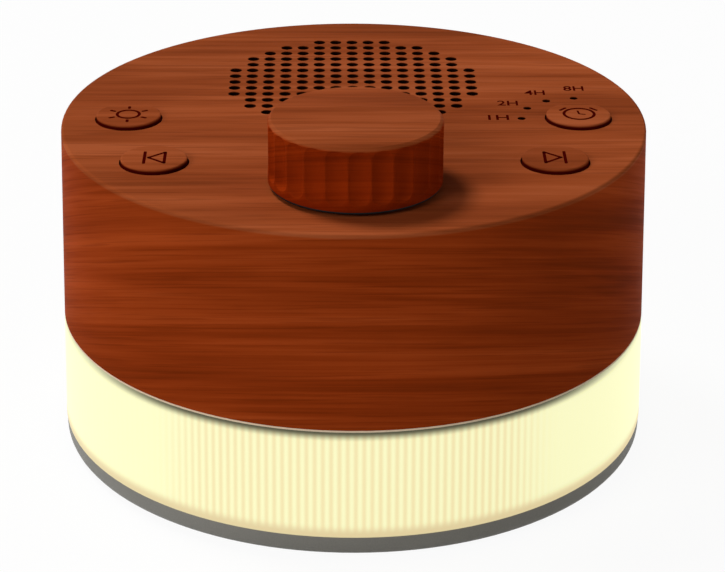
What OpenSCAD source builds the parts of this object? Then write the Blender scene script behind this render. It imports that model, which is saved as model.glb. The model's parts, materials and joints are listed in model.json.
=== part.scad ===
// White noise sound machine: a round wood-look housing with a fluted knob, four keys
// and a perforated speaker grille, over a ribbed glowing ring and a grey base.
// Millimetres. The origin is the middle of the surface that it stands on and +Z is up.
// The knob is at the front, which faces -Y, and the speaker is behind it.

/* [Housing] */
// Diameter of the housing across its top face
housing_top_d = 100.3; // [96:0.1:106]
// Distance that the side wall leans out between the top face and the lower edge
housing_draft = 0.8; // [0.4:0.1:1.5]
// Height of the housing from its lower edge to its top face
housing_h = 34.2; // [32:0.1:40]
// Thickness of the housing's side wall
housing_wall = 2.2; // [1.8:0.1:2.6]
// Thickness of the housing's top plate
top_t = 2.4; // [2:0.1:3]
// Radius of the rounding along the top edge
edge_round = 0.5; // [0.2:0.1:1]
// Depth of the step inside the lower edge that takes the ring's collar
rebate_h = 2.2; // [1.6:0.1:3]
// Radius of the screw posts under the top plate
post_r = 3.2; // [2.8:0.1:3.4]
// Gap between those posts and the side wall
post_gap = 3.15; // [2.95:0.05:3.55]
// Thickness of the webs that join the posts to the side wall
web_t = 1.2; // [0.8:0.1:1.6]

/* [Grille] */
// Distance between neighbouring grille holes
hole_pitch = 3; // [2.8:0.1:3.4]
// Diameter of each grille hole
hole_d = 2.1; // [1.4:0.1:2.3]
// Distance from the speaker's opening in to the centres of the outer holes
grille_inset = 1; // [1:0.1:4]

/* [Keys] */
// Radius of the circle on which the four keys stand, as a share of the top's radius
key_ring_share = 0.7717; // [0.765:0.001:0.778]
// Angle of the two front keys below the line through the two side keys
key_angle = 31; // [30:0.5:33]
// Diameter of a key's cap
key_d = 11.1; // [10:0.1:11.6]
// Gap all round between a cap and its hole
key_gap = 0.25; // [0.2:0.05:0.4]
// Height of a cap above the top face
key_proud = 0.8; // [0.6:0.1:1.2]
// Travel of a key when it is pressed
key_travel = 0.3; // [0.2:0.05:0.4]
// Wall thickness of a key's cap
key_wall = 1.2; // [0.8:0.1:1.6]
// Width of the flange that keeps a key in its hole
key_flange_w = 1.2; // [0.9:0.1:1.4]
// Thickness of that flange
key_flange_t = 1; // [0.8:0.1:1.2]
// Diameter of the stem that presses the switch
key_stem_d = 3.2; // [2.6:0.1:3.4]
// Length of the stem below the flange
key_stem_h = 1.5; // [1.2:0.1:2]
// Wall thickness of the guide collar round each key's flange
guide_wall = 0.8; // [0.6:0.1:0.9]

/* [Timer lights] */
// Radius of the arc of timer lights round the timer key
light_arc_r = 9.8; // [9.7:0.1:10.2]
// Number of timer lights
light_count = 4; // [2:1:4]
// Angle between neighbouring timer lights
light_step = 30; // [28:1:32]
// Diameter of each timer light's hole
light_hole_d = 1.45; // [1.2:0.05:1.8]
// Outer radius of each tube of the light shield
shield_r = 1.6; // [1.4:0.1:1.6]

/* [Knob] */
// Distance of the knob's axis in front of the centre, as a share of the top's radius
knob_share = 0.5843; // [0.578:0.001:0.594]
// Diameter of the knob cap
knob_d = 28.4; // [28:0.1:29.4]
// Height of the knob cap
knob_h = 10.7; // [10:0.1:13]
// Gap between the knob cap and the top face
knob_lift = 0.9; // [0.9:0.1:1.4]
// Wall thickness of the knob cap
knob_wall = 1.7; // [1.6:0.1:2.2]
// Radius of the rounding along the knob's top edge
knob_round = 0.75; // [0.4:0.05:1]
// Number of flutes round the knob
flute_count = 24; // [18:1:26]
// Turn of the flute pattern from the knob's front, in degrees
flute_turn = 2; // [0:0.5:7.5]
// Depth of each flute
flute_depth = 0.4; // [0.2:0.05:0.6]
// Radius of the cutter that hollows each flute
flute_r = 5.6; // [4.6:0.1:6]
// Distance from the knob's lower edge to the flutes' rounded lower ends
flute_low = 1.3; // [0.8:0.1:2]
// Distance from the flutes' rounded upper ends to the knob's top face
flute_high = 0.9; // [0.8:0.1:2]
// Width of the black skirt's inset under the knob's edge
skirt_inset = 0.9; // [0.6:0.1:1.2]
// Height of the black skirt that shows under the knob
skirt_drop = 0.3; // [0.2:0.05:0.3]
// Thickness of the hub's walls and ribs
hub_wall = 1.3; // [1:0.1:1.6]
// Number of ribs inside the hub
hub_rib_count = 6; // [4:1:8]
// Travel of the knob when it is pushed
push_travel = 0.5; // [0.3:0.05:0.55]

/* [Rotary encoder] */
// Diameter of the encoder's shaft
shaft_d = 6; // [5.8:0.1:6]
// Distance from the shaft's axis to its flat
shaft_flat = 1.5; // [1.2:0.1:2]
// Diameter of the shaft's lower end, inside the encoder
pin_d = 4; // [3.6:0.1:4.4]
// Distance from the axis to each of the two flats on that lower end
pin_flat = 1.6; // [1.4:0.1:1.7]
// Running clearance round the shaft
running_gap = 0.05; // [0.02:0.01:0.1]
// Width of the encoder's square body
encoder_w = 11.7; // [11.4:0.1:12.2]
// Outer diameter of the encoder's bushing
bushing_d = 7; // [6.8:0.1:7.4]
// Length of the bushing above the encoder's body
bushing_h = 4.5; // [4:0.1:5]
// Diameter of the rotor inside the encoder
rotor_d = 9.4; // [8.8:0.1:9.6]
// Thickness of the rotor
rotor_t = 2.4; // [1.8:0.1:2.6]

/* [Control board] */
// Thickness of the circuit boards
board_t = 1.6; // [1.2:0.1:1.6]
// Width of a push switch's square body
switch_w = 6; // [5.6:0.1:6.4]
// Height of a push switch's body
switch_h = 3.5; // [3.2:0.1:3.6]
// Diameter of a push switch's plunger
plunger_d = 3.5; // [3.2:0.1:3.8]
// Height of the plunger above the switch's body
plunger_h = 0.8; // [0.7:0.05:1]

/* [Speaker] */
// Radius of the speaker's mounting flange, as a share of the top's radius
speaker_share = 0.5384; // [0.53:0.001:0.546]
// Gap between the flange and the side wall at the back
speaker_gap = 2.85; // [2.4:0.05:3.3]
// Gap between the speaker's magnet and the main board
speaker_clear = 3.1; // [2.8:0.1:3.8]
// Distance from the flange's edge out to the four mounting screws
ear_out = 2.5; // [2.2:0.1:2.6]
// Radius of each ear
ear_r = 3.3; // [3:0.1:3.4]
// Thickness of the speaker's pressed steel frame
frame_t = 0.8; // [0.6:0.1:1]
// Width of the mounting flange
flange_w = 3.8; // [3.6:0.1:4.2]
// Width of the surround's roll
surround_w = 2.6; // [2.4:0.1:3.2]
// Radius of the voice coil's former, as a share of the flange's radius
former_share = 0.2667; // [0.26:0.001:0.274]
// Thickness of the voice coil's winding
winding_t = 0.35; // [0.25:0.05:0.4]
// Radius of the magnet, as a share of the flange's radius
magnet_share = 0.611; // [0.58:0.001:0.63]
// Thickness of the magnet, as a share of the speaker's depth
magnet_depth_share = 0.249; // [0.23:0.001:0.28]
// Travel of the cone each way
cone_travel = 0.5; // [0.3:0.05:0.6]

/* [Glowing ring] */
// Distance that the ring leans out between its top and its lower edge
ring_draft = 0.4; // [0.2:0.1:1.2]
// Height of the ring between the base and the housing
ring_h = 19.1; // [18:0.1:24]
// Thickness of the ring at its top, out from the ribs' roots
ring_wall = 1.55; // [1.4:0.05:1.8]
// Number of ribs on the ring's inner face
rib_count = 240; // [120:10:240]
// Depth of those ribs
rib_depth = 0.5; // [0.2:0.05:0.5]
// Height of the plain band under the ribs
rib_low = 0.8; // [0.5:0.1:1.5]
// Thickness of the collar that stands up inside the housing
collar_t = 1.2; // [1:0.1:1.4]
// Height of the collar below the housing's edge
collar_low = 1.4; // [1:0.1:2]

/* [Night light] */
// Width of the ring-shaped lamp board
lamp_board_w = 17.4; // [17:0.1:17.6]
// Gap between the lamp board and the ring's ribs
lamp_board_gap = 2.5; // [2.2:0.1:3]
// Distance from the lamp board's outer edge in to the lamps
lamp_inset = 4.9; // [3.4:0.1:6.4]
// Number of lamps
lamp_count = 24; // [12:1:30]
// Gap between the lamp board's screws and the foot of the white reflector
reflector_gap = 0.5; // [0.3:0.1:1.4]
// Distance from the chassis plate's edge in to the reflector's rim
reflector_inset = 1.6; // [1.4:0.1:2.6]
// Wall thickness of the reflector
reflector_t = 1.2; // [1:0.1:1.4]

/* [Base] */
// Height of the base's edge
base_h = 3.5; // [2.8:0.1:4]
// Thickness of the base's floor
base_floor_t = 2.2; // [2:0.1:2.4]
// Distance that the base's edge curves in at the bottom
base_inset = 1.4; // [0.8:0.1:1.8]
// Step between the ring's edge and the base's edge
base_step = 0.1; // [0.05:0.05:0.6]
// Height above the base's floor of the wall inside the ring
base_wall_h = 2.4; // [1.8:0.1:3]
// Thickness of that wall
base_wall_t = 1.4; // [1:0.1:1.6]
// Distance from the base's edge in to the rubber foot ring
foot_inset = 7; // [6:0.1:7.2]
// Width of the foot ring
foot_w = 6; // [4:0.1:6.4]
// Distance that the foot ring stands out below the base
foot_proud = 0.6; // [0.4:0.1:0.8]
// Depth of the groove that takes the foot ring
foot_groove = 1; // [0.8:0.1:1.2]

/* [Chassis] */
// Thickness of the chassis plate that closes the housing
chassis_t = 2; // [1.6:0.1:2.4]
// Height of the pads that carry the main board
pad_h = 1.6; // [1.4:0.1:2]
// Radius of the tubes that take the base screws
tube_r = 3.3; // [3:0.1:3.6]
// Gap between those tubes and the lamp board
tube_gap = 0.67; // [0.4:0.01:1]

/* [Power inlet] */
// Width of the inlet socket's mouth
inlet_w = 8.94; // [8.8:0.02:9]
// Height of the inlet socket's mouth
inlet_h = 3.26; // [3.2:0.02:3.3]
// Length of the inlet socket
inlet_l = 7.3; // [7:0.1:8]
// Distance of the socket's mouth behind the housing's lower edge
inlet_sink = 1.55; // [1.4:0.05:1.7]

/* [Screws and wires] */
// Radius of the thread of the small screws
screw_r = 1; // [0.9:0.05:1.1]
// Radius of the small screws' heads
screw_head_r = 2; // [1.8:0.1:2.1]
// Height of the small screws' heads
screw_head_h = 1.3; // [1:0.1:1.3]
// Radius of the lead wires
wire_r = 0.6; // [0.5:0.05:0.7]

/* [Hidden] */
$fn = 96;
small_fn = 32;

// Gap at rest between pieces that move apart, and around pieces that drop into place.
rest_gap = 0.3;
fit_gap = 0.1;
press_gap = 0.02;
// Clearance round a screw in a through hole, and round a screw's head in its recess.
screw_gap = 0.2;
head_gap = 0.4;
// Cross slot in a screw's head.
slot_w = 0.5;
slot_l = 1.2 * screw_head_r;
// How far a cut runs past the face that it opens, and a boss into the wall that it grows from.
past = 0.5;
bite = 0.2;

// Radii that follow the housing.
top_r = housing_top_d / 2;
edge_r = top_r + housing_draft;
inner_top_r = top_r - housing_wall;
inner_low_r = edge_r - housing_wall;
rib_root_r = edge_r - ring_wall;
rib_crest_r = rib_root_r - rib_depth;
band_step = 0.1;
rebate_r = rib_root_r;
collar_r = rebate_r - rest_gap;
chassis_r = collar_r - collar_t - rest_gap;
ring_low_r = edge_r + ring_draft;
base_r = ring_low_r - base_step;
base_wall_r = rib_crest_r - rest_gap;
foot_r = base_r - foot_inset;
key_ring_r = key_ring_share * top_r;
knob_y = knob_share * top_r;
post_ring_r = inner_top_r - post_gap - post_r;

// Levels, from the surface that the machine stands on upwards.
z_base = foot_proud;
z_floor = z_base + base_floor_t;
z_ring = z_base + base_h;
z_housing = z_ring + ring_h;
z_top = z_housing + housing_h;
z_ceiling = z_top - top_t;

// Chassis and main board levels.
z_chassis = z_housing + screw_gap;
z_chassis_top = z_chassis + chassis_t;
z_main = z_chassis_top + pad_h;
z_main_top = z_main + board_t;
post_angles = [45, 135, 238, 302];
web_lift = 2;
rim_inset = 4;
rim_t = 1;
base_screw_l = 8;
pad_hole_h = 2.4;

// Keys, switches and the board under them are stacked down from the ceiling.
z_key_top = z_top + key_proud;
z_flange = z_ceiling - rest_gap - key_flange_t;
z_stem = z_flange - key_stem_h;
z_switch = z_stem - plunger_h;
z_board_top = z_switch - switch_h;
z_board = z_board_top - board_t;
plunger_sink = 0.5;
key_round = 0.3;
key_hole_r = key_d / 2 + key_gap;
key_flange_r = key_d / 2 + key_flange_w;
guide_r = key_flange_r + rest_gap;
guide_h = rest_gap + key_flange_t + 0.5;
tab_w = 2;
tab_l = 0.9;
key_places = [[180, "light"], [180 + key_angle, "previous"], [360 - key_angle, "next"], [0, "timer"]];

// Encoder, shaft and knob share one axis.
encoder_gap = 0.6;
bracket_t = 0.5;
shoulder_gap = 0.2;
rotor_space = 0.2;
z_bracket = z_ceiling - encoder_gap - bracket_t;
z_bushing_top = z_bracket + bracket_t + bushing_h;
z_knob = z_top + knob_lift;
z_knob_top = z_knob + knob_h;
z_skirt = z_knob - skirt_drop;
z_hub_top = z_knob_top - knob_wall;
hub_cap_t = 0.8;
z_shaft_top = z_hub_top - hub_cap_t;
z_hub_socket = z_bushing_top + push_travel + rest_gap;
z_flat = z_hub_socket - rest_gap;
z_shoulder = z_bracket + push_travel + shoulder_gap;
rotor_lift = 2.2;
z_rotor = z_board_top + rotor_lift;
knob_chamfer = 0.3;
hub_floor_t = 1;
hub_r = knob_d / 2 - knob_wall - running_gap;
skirt_r = knob_d / 2 - skirt_inset;
hub_boss_r = shaft_d / 2 + hub_wall + 0.7;
bushing_hole_r = bushing_d / 2 + 0.5;

// Speaker radii, from its flange inwards.
flange_r = speaker_share * top_r;
grille_y = inner_top_r - flange_r - speaker_gap;
ear_ring_r = flange_r + ear_out;
ear_angles = [45, 135, 225, 315];
boss_r = ear_r - 0.6;
cone_opening_r = flange_r - flange_w;
grille_r = cone_opening_r - grille_inset;
cone_r = cone_opening_r - surround_w;
cone_lip_w = 1.2;
surround_lip_w = flange_w - 2;
former_r = former_share * flange_r;
former_t = 0.2;
coil_gap = 0.35;
gap_r = former_r + winding_t + coil_gap;
pole_r = former_r - 0.6;
magnet_r = magnet_share * flange_r;
magnet_hole_r = gap_r + 1.6;
plate_r = magnet_r - 1;
frame_foot_r = magnet_r - 2;
frame_bore_r = former_r + 1.4;
ledge_out_r = frame_foot_r - 1.1;
ledge_in_r = ledge_out_r - 1.8;
cap_foot_r = former_r + 0.8;
gasket_in_r = cone_opening_r + 0.2;
cloth_r = gasket_in_r + 1.4;

// Speaker levels, down from the cloth behind the grille and up from the yoke.
cloth_t = 0.3;
gasket_t = 1;
lip_t = 0.3;
paper_t = 0.4;
z_cloth = z_ceiling - cloth_t;
z_gasket = z_cloth - gasket_t;
z_lip = z_gasket - lip_t;
z_flange_low = z_lip - frame_t;
z_yoke = z_main_top + speaker_clear;
speaker_h = z_lip - z_yoke;
magnet_t = magnet_depth_share * speaker_h;
pole_t = 0.115 * speaker_h;
z_magnet = z_yoke + pole_t;
z_front_plate = z_magnet + magnet_t;
z_frame = z_front_plate + pole_t;
z_coil = z_magnet + cone_travel + 1.2;
coil_h = 0.23 * speaker_h;
z_neck = z_frame + 0.23 * speaker_h;
z_cap = z_neck + paper_t + 0.055 * speaker_h;
cap_rise = 0.184 * speaker_h;
z_ledge = z_frame + frame_t + 0.1 * speaker_h;
spider_t = 0.3;
spider_wave = 0.037 * speaker_h;

// Lamp board, on ribs of the base.
lamp_board_t = 1.2;
lamp_rib_h = 1.6;
lamp_rib_t = 1.2;
z_lamp = z_floor + lamp_rib_h;
z_lamp_top = z_lamp + lamp_board_t;
lamp_board_out_r = rib_crest_r - lamp_board_gap;
lamp_board_r = lamp_board_out_r - lamp_board_w;
lamp_ring_r = lamp_board_out_r - lamp_inset;
lamp_size = [2.8, 3.5, 0.8];
lamp_screw_r = lamp_board_r + 2.3;
lamp_screw_angles = [90, 210, 330];
lamp_boss_r = 2.1;
lamp_hole_h = 2.4;
reflector_foot_r = lamp_screw_r + screw_head_r + reflector_t + reflector_gap;
reflector_rim_r = chassis_r - reflector_inset;
reflector_rim_t = 0.9;
tube_xy = (lamp_board_r - tube_r - tube_gap) / sqrt(2);
lead_x = lamp_screw_r + 0.2;
wire_space = 2.6;

// Wires and plugs.
terminal_t = 1.2;
terminal_w = 11;
terminal_out = 2.4;
terminal_rise = 1.5;
terminal_y = grille_y - cone_opening_r - terminal_out;
terminal_hole_r = 0.5;
lead_y = terminal_y - terminal_t / 2 - wire_r;
z_terminal = z_frame + terminal_rise;
lead_lap = 2.4;
wire_bend_r = 2;
plug = [6, 4, 3.4];

// Main board outline and what stands on it.
board_post_gap = 2.2;
board_plug_edge = 0.8;
board_wall_gap = 1.75;
pad_side_inset = 3.5;
pad_plug_gap = 2.5;
pad_back_inset = 12.2;
main_half_w = post_ring_r * cos(45) - post_r - board_post_gap;
main_front_y = lead_y - plug[1] / 2 - board_plug_edge;
main_back_r = inner_top_r - board_wall_gap;
pad_x = main_half_w - pad_side_inset;
pad_front_y = -plug[0] / 2 - pad_plug_gap;
pad_back_y = main_back_r - pad_back_inset;
pad_places = [[-pad_x, pad_front_y], [pad_x, pad_front_y], [-pad_x, pad_back_y], [pad_x, pad_back_y]];
pad_r = 2.6;
chip_places = [[-12, 6], [4, 4], [15, 12]];
chip_sizes = [[5, 4, 1.5], [10, 4, 1.6], [5, 6, 1.2]];
capacitor_places = [[-pad_x, 8], [-pad_x, 14], [pad_x, 3]];
capacitor_r = 2.2;
capacitor_h = 5.4;
lamp_plug_x = -pad_x - 0.5;
inlet_mouth_y = edge_r - inlet_sink;
inlet_skin = 0.3;
inlet_back_t = 1;
tongue_t = 0.7;
tongue_w = inlet_w - 2.4;
z_inlet = z_main_top + inlet_h / 2;

// Control board outline and its posts, as shares of the top's radius and angles.
control_wall_gap = 1.95;
control_edge = 2.1;
control_flange_gap = 1.3;
control_r = inner_top_r - control_wall_gap;
control_back_y = light_arc_r + shield_r + control_edge;
control_cut_r = flange_r + control_flange_gap;
control_posts = [polar(0.6026 * top_r, 196.3), polar(0.6026 * top_r, 343.7),
    polar(0.8017 * top_r, 248.9), polar(0.8017 * top_r, 291.1)];
control_post_r = 2.6;
notch_r = post_r + 1;
ear_notch_r = ear_r + 0.9;
thread_depth = 6;
board_screw_l = 5;
boss_hole_h = 2.5;
timer_light_size = [1.2, 0.8, 0.6];
shield_wall = 0.6;
shield_h = 3;

// Ribbon between the two boards.
ribbon_w = 8;
ribbon_t = 0.4;
ribbon_bend_r = 3;
ribbon_x = 12;
ribbon_front = 6.5;
ribbon_y = main_front_y - ribbon_front;
ribbon_end_y = main_front_y + bite;
ribbon_plug_w = ribbon_w + 2;
ribbon_plug_h = 2;
z_ribbon = z_main_top + ribbon_plug_h / 2;

// Points along an arc round [cx, cz], in the plane of a revolved outline.
function arc(cx, cz, r, from, to, steps = 6) =
    [for (i = [0 : steps]) let (a = from + (to - from) * i / steps) [cx + r * cos(a), cz + r * sin(a)]];
// A place at radius r and angle a.
function polar(r, a) = [r * cos(a), r * sin(a)];
// The place of timer light i, seen from the timer key.
function light_place(i) = polar(light_arc_r, 90 + i * light_step);
// The housing's inner radius at level z.
function inner_r(z) =
    inner_low_r + (inner_top_r - inner_low_r) * (z - z_housing) / (z_ceiling - z_housing);
// The reflector's outer radius at level z.
function reflector_r(z) = reflector_foot_r
    + (reflector_rim_r - reflector_foot_r) * (z - z_lamp_top) / (z_chassis - z_lamp_top);

// A ring or a disc between two levels.
module ring(r_in, r_out, z0, z1) {
    translate([0, 0, z0]) difference() {
        cylinder(r = r_out, h = z1 - z0);
        if (r_in > 0) translate([0, 0, -past]) cylinder(r = r_in, h = z1 - z0 + 2 * past);
    }
}
// A round bar between two levels at place p.
module bar(p, r, z0, z1, fn = small_fn) {
    translate([p[0], p[1], z0]) cylinder(r = r, h = z1 - z0, $fn = fn);
}
// A block centred on p in X and Y.
module block(p, w, d, z0, z1) {
    translate([p[0] - w / 2, p[1] - d / 2, z0]) cube([w, d, z1 - z0]);
}
// A pan-head screw. It points up, or down when up is false, and z is under its head.
module screw(p, z, l, up = true) {
    translate([p[0], p[1], z]) mirror([0, 0, up ? 0 : 1]) {
        difference() {
            translate([0, 0, -screw_head_h]) cylinder(r = screw_head_r, h = screw_head_h, $fn = small_fn);
            for (a = [0, 90]) rotate(a) translate([-slot_l / 2, -slot_w / 2, -screw_head_h - past])
                cube([slot_l, slot_w, past + screw_head_h / 2]);
        }
        translate([0, 0, -bite]) cylinder(r = screw_r, h = l + bite, $fn = small_fn);
    }
}
module at_speaker() { translate([0, grille_y, 0]) children(); }
module at_knob() { translate([0, -knob_y, 0]) children(); }
module at_key(a) { translate(concat(polar(key_ring_r, a), 0)) children(); }

// ---- Housing ----
module grille_holes() {
    reach = floor(grille_r / hole_pitch);
    for (i = [-reach : reach], j = [-reach : reach])
        if (norm([i, j]) * hole_pitch <= grille_r)
            bar([i * hole_pitch, j * hole_pitch], hole_d / 2, z_ceiling - past, z_top + past);
}
module guide_collar() {
    difference() {
        ring(guide_r, guide_r + guide_wall, z_ceiling - guide_h, z_ceiling + bite);
        translate([-guide_r - guide_wall - past, -tab_w / 2 - rest_gap, z_ceiling - guide_h - past])
            cube([guide_wall + 2 * past, tab_w + 2 * rest_gap, guide_h + 2 * past]);
    }
}
module housing_shell() {
    rotate_extrude() polygon(concat(
        [[rebate_r, z_housing], [edge_r, z_housing]],
        arc(top_r - edge_round, z_top - edge_round, edge_round, 0, 90),
        [[0, z_top], [0, z_ceiling], [inner_top_r, z_ceiling],
         [inner_r(z_housing + rebate_h), z_housing + rebate_h], [rebate_r, z_housing + rebate_h]]));
}
module long_post(a) {
    z_web = z_housing + rebate_h + web_lift;
    rotate(a) {
        bar([post_ring_r, 0], post_r, z_chassis_top, z_ceiling + bite);
        translate([post_ring_r, -web_t / 2, z_web])
            cube([inner_r(z_web) - post_ring_r + bite, web_t, z_ceiling + bite - z_web]);
    }
}
module housing() {
    color("saddlebrown") difference() {
        union() {
            housing_shell();
            for (a = post_angles) long_post(a);
            for (p = control_posts) bar(p, control_post_r, z_board_top, z_ceiling + bite);
            for (k = key_places) at_key(k[0]) guide_collar();
            at_speaker() for (a = ear_angles) bar(polar(ear_ring_r, a), boss_r, z_lip, z_ceiling + bite);
        }
        at_speaker() grille_holes();
        for (k = key_places) at_key(k[0]) bar([0, 0], key_hole_r, z_ceiling - past, z_top + past, 64);
        at_key(0) for (i = [0 : light_count - 1])
            bar(light_place(i), light_hole_d / 2, z_ceiling - past, z_top + past);
        at_knob() bar([0, 0], bushing_hole_r, z_ceiling - past, z_top + past);
        for (a = post_angles)
            bar(polar(post_ring_r, a), screw_r, z_chassis_top - past, z_chassis_top + thread_depth + past);
        for (p = control_posts)
            bar(p, screw_r, z_board_top - past, z_board + board_screw_l + past);
        at_speaker() for (a = ear_angles)
            bar(polar(ear_ring_r, a), screw_r, z_lip - past, z_lip + boss_hole_h);
        inlet_opening();
    }
}
module inlet_outline(gap) {
    half = inlet_w / 2 - inlet_h / 2;
    for (s = [-1, 1]) translate([s * half, 0]) circle(r = inlet_h / 2 + gap, $fn = small_fn);
    square([2 * half, inlet_h + 2 * gap], center = true);
}
module inlet_opening() {
    translate([0, inner_top_r - 2 * past, z_inlet]) rotate([-90, 0, 0])
        linear_extrude(height = edge_r - inner_top_r + 3 * past) inlet_outline(rest_gap);
}

// ---- Knob ----
module flute() {
    reach = knob_d / 2 + flute_r - flute_depth;
    half_end = sqrt(flute_depth * (2 * flute_r - flute_depth));
    low = z_knob + flute_low + half_end;
    high = z_knob_top - flute_high - half_end;
    translate([reach, 0, low]) {
        cylinder(r = flute_r, h = high - low, $fn = small_fn);
        sphere(r = flute_r, $fn = small_fn);
        translate([0, 0, high - low]) sphere(r = flute_r, $fn = small_fn);
    }
}
module knob_cap() {
    color("sienna") at_knob() difference() {
        rotate_extrude() polygon(concat(
            [[hub_r + running_gap, z_knob], [knob_d / 2 - knob_chamfer, z_knob],
             [knob_d / 2, z_knob + knob_chamfer]],
            arc(knob_d / 2 - knob_round, z_knob_top - knob_round, knob_round, 0, 90),
            [[0, z_knob_top], [0, z_hub_top], [hub_r + running_gap, z_hub_top]]));
        for (i = [0 : flute_count - 1]) rotate(flute_turn + 360 / flute_count * i) flute();
    }
}
module shaft_outline(gap) {
    intersection() {
        circle(r = shaft_d / 2 + gap, $fn = 64);
        translate([-shaft_d, -shaft_flat - gap]) square([2 * shaft_d, 2 * shaft_d]);
    }
}
module knob_hub() {
    color("dimgray") at_knob() difference() {
        union() {
            ring(bushing_hole_r, skirt_r, z_skirt, z_knob);
            ring(bushing_hole_r, hub_r, z_skirt, z_knob + hub_floor_t);
            ring(hub_r - hub_wall, hub_r, z_skirt, z_hub_top);
            ring(0, hub_boss_r, z_hub_socket, z_hub_top);
            for (i = [0 : hub_rib_count - 1]) rotate(360 / hub_rib_count * i)
                translate([hub_boss_r - bite, -hub_wall / 2, z_skirt + bite])
                    cube([hub_r - hub_wall - hub_boss_r + 2 * bite, hub_wall,
                        z_hub_top - z_skirt - hub_floor_t - bite]);
        }
        translate([0, 0, z_hub_socket - past]) linear_extrude(height = z_shaft_top - z_hub_socket + past)
            shaft_outline(press_gap);
    }
}
module encoder_shaft() {
    color("silver") at_knob() {
        translate([0, 0, z_flat]) linear_extrude(height = z_shaft_top - z_flat) shaft_outline(0);
        ring(0, shaft_d / 2, z_shoulder, z_flat + bite);
        translate([0, 0, z_rotor - rest_gap])
            linear_extrude(height = z_shoulder - z_rotor + rest_gap + bite) pin_outline(0);
    }
}
module pin_outline(gap) {
    intersection() {
        circle(r = pin_d / 2 + gap, $fn = small_fn);
        square([2 * pin_d, 2 * (pin_flat + gap)], center = true);
    }
}

// ---- Rotary encoder ----
module encoder_rotor() {
    color("white") at_knob() difference() {
        ring(0, rotor_d / 2, z_rotor, z_rotor + rotor_t);
        translate([0, 0, z_rotor - past]) linear_extrude(height = rotor_t + 2 * past)
            pin_outline(running_gap);
    }
}
module encoder_bushing() {
    color("silver") at_knob() difference() {
        union() {
            block([0, 0], encoder_w, encoder_w, z_bracket, z_bracket + bracket_t);
            ring(0, bushing_d / 2, z_bracket, z_bushing_top);
        }
        bar([0, 0], shaft_d / 2 + running_gap, z_bracket - past, z_bushing_top + past, 64);
    }
}
module encoder_body() {
    color("darkgreen") at_knob() difference() {
        block([0, 0], encoder_w, encoder_w, z_board_top, z_bracket);
        ring(0, rotor_d / 2 + rotor_space, z_rotor - rest_gap, z_rotor + rotor_t + rest_gap);
        bar([0, 0], pin_d / 2 + running_gap, z_rotor, z_bracket + past);
        bar([0, 0], pin_d / 2 + rest_gap, z_rotor - rest_gap - push_travel - rotor_space, z_rotor);
    }
}

// ---- Keys ----
module key(a) {
    at_key(a) color("saddlebrown") {
        rotate_extrude() polygon(concat(
            [[key_d / 2 - key_wall, z_flange], [key_flange_r, z_flange],
             [key_flange_r, z_flange + key_flange_t], [key_d / 2, z_flange + key_flange_t]],
            arc(key_d / 2 - key_round, z_key_top - key_round, key_round, 0, 90, 4),
            [[0, z_key_top], [0, z_key_top - key_wall], [key_d / 2 - key_wall, z_key_top - key_wall]]));
        bar([0, 0], key_stem_d / 2, z_stem, z_key_top - key_wall + bite);
        translate([-key_flange_r - tab_l, -tab_w / 2, z_flange]) cube([tab_l + bite, tab_w, key_flange_t]);
    }
}
module plunger(a) {
    at_key(a) color("black") bar([0, 0], plunger_d / 2, z_switch - plunger_sink, z_stem);
}
module light_key() { key(key_places[0][0]); }
module previous_key() { key(key_places[1][0]); }
module next_key() { key(key_places[2][0]); }
module timer_key() { key(key_places[3][0]); }
module light_plunger() { plunger(key_places[0][0]); }
module previous_plunger() { plunger(key_places[1][0]); }
module next_plunger() { plunger(key_places[2][0]); }
module timer_plunger() { plunger(key_places[3][0]); }
module switch_bodies() {
    color("gray") for (k = key_places) at_key(k[0]) difference() {
        block([0, 0], switch_w, switch_w, z_board_top, z_switch);
        bar([0, 0], plunger_d / 2 + fit_gap, z_switch - plunger_sink - key_travel - bite, z_switch + past);
    }
}

// ---- Control board ----
module control_board() {
    color("darkgreen") difference() {
        intersection() {
            ring(0, control_r, z_board, z_board_top);
            translate([-control_r, -control_r, z_board - past])
                cube([2 * control_r, control_r + control_back_y, board_t + 2 * past]);
        }
        at_speaker() bar([0, 0], control_cut_r, z_board - past, z_board_top + past, 96);
        at_speaker() for (a = [225, 315])
            bar(polar(ear_ring_r, a), ear_notch_r, z_board - past, z_board_top + past);
        for (a = [238, 302]) rotate(a) {
            bar([post_ring_r, 0], notch_r, z_board - past, z_board_top + past);
            translate([post_ring_r, -notch_r, z_board - past])
                cube([control_r, 2 * notch_r, board_t + 2 * past]);
        }
        for (p = control_posts) bar(p, screw_r + screw_gap, z_board - past, z_board_top + past);
    }
}
module timer_lights() {
    color("ivory") at_key(0) for (i = [0 : light_count - 1])
        block(light_place(i), timer_light_size[0], timer_light_size[1],
            z_board_top, z_board_top + timer_light_size[2]);
}
module timer_light_shield() {
    color("black") at_key(0) difference() {
        union() {
            for (i = [0 : light_count - 1]) bar(light_place(i), shield_r, z_board_top, z_ceiling);
            rotate([0, 0, 90]) rotate_extrude(angle = (light_count - 1) * light_step)
                translate([light_arc_r - shield_wall, z_board_top]) square([2 * shield_wall, shield_h]);
        }
        for (i = [0 : light_count - 1])
            bar(light_place(i), shield_r - shield_wall, z_board_top - past, z_ceiling + past);
    }
}
module control_board_screws() {
    color("silver") for (p = control_posts) screw(p, z_board, board_screw_l);
}

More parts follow.
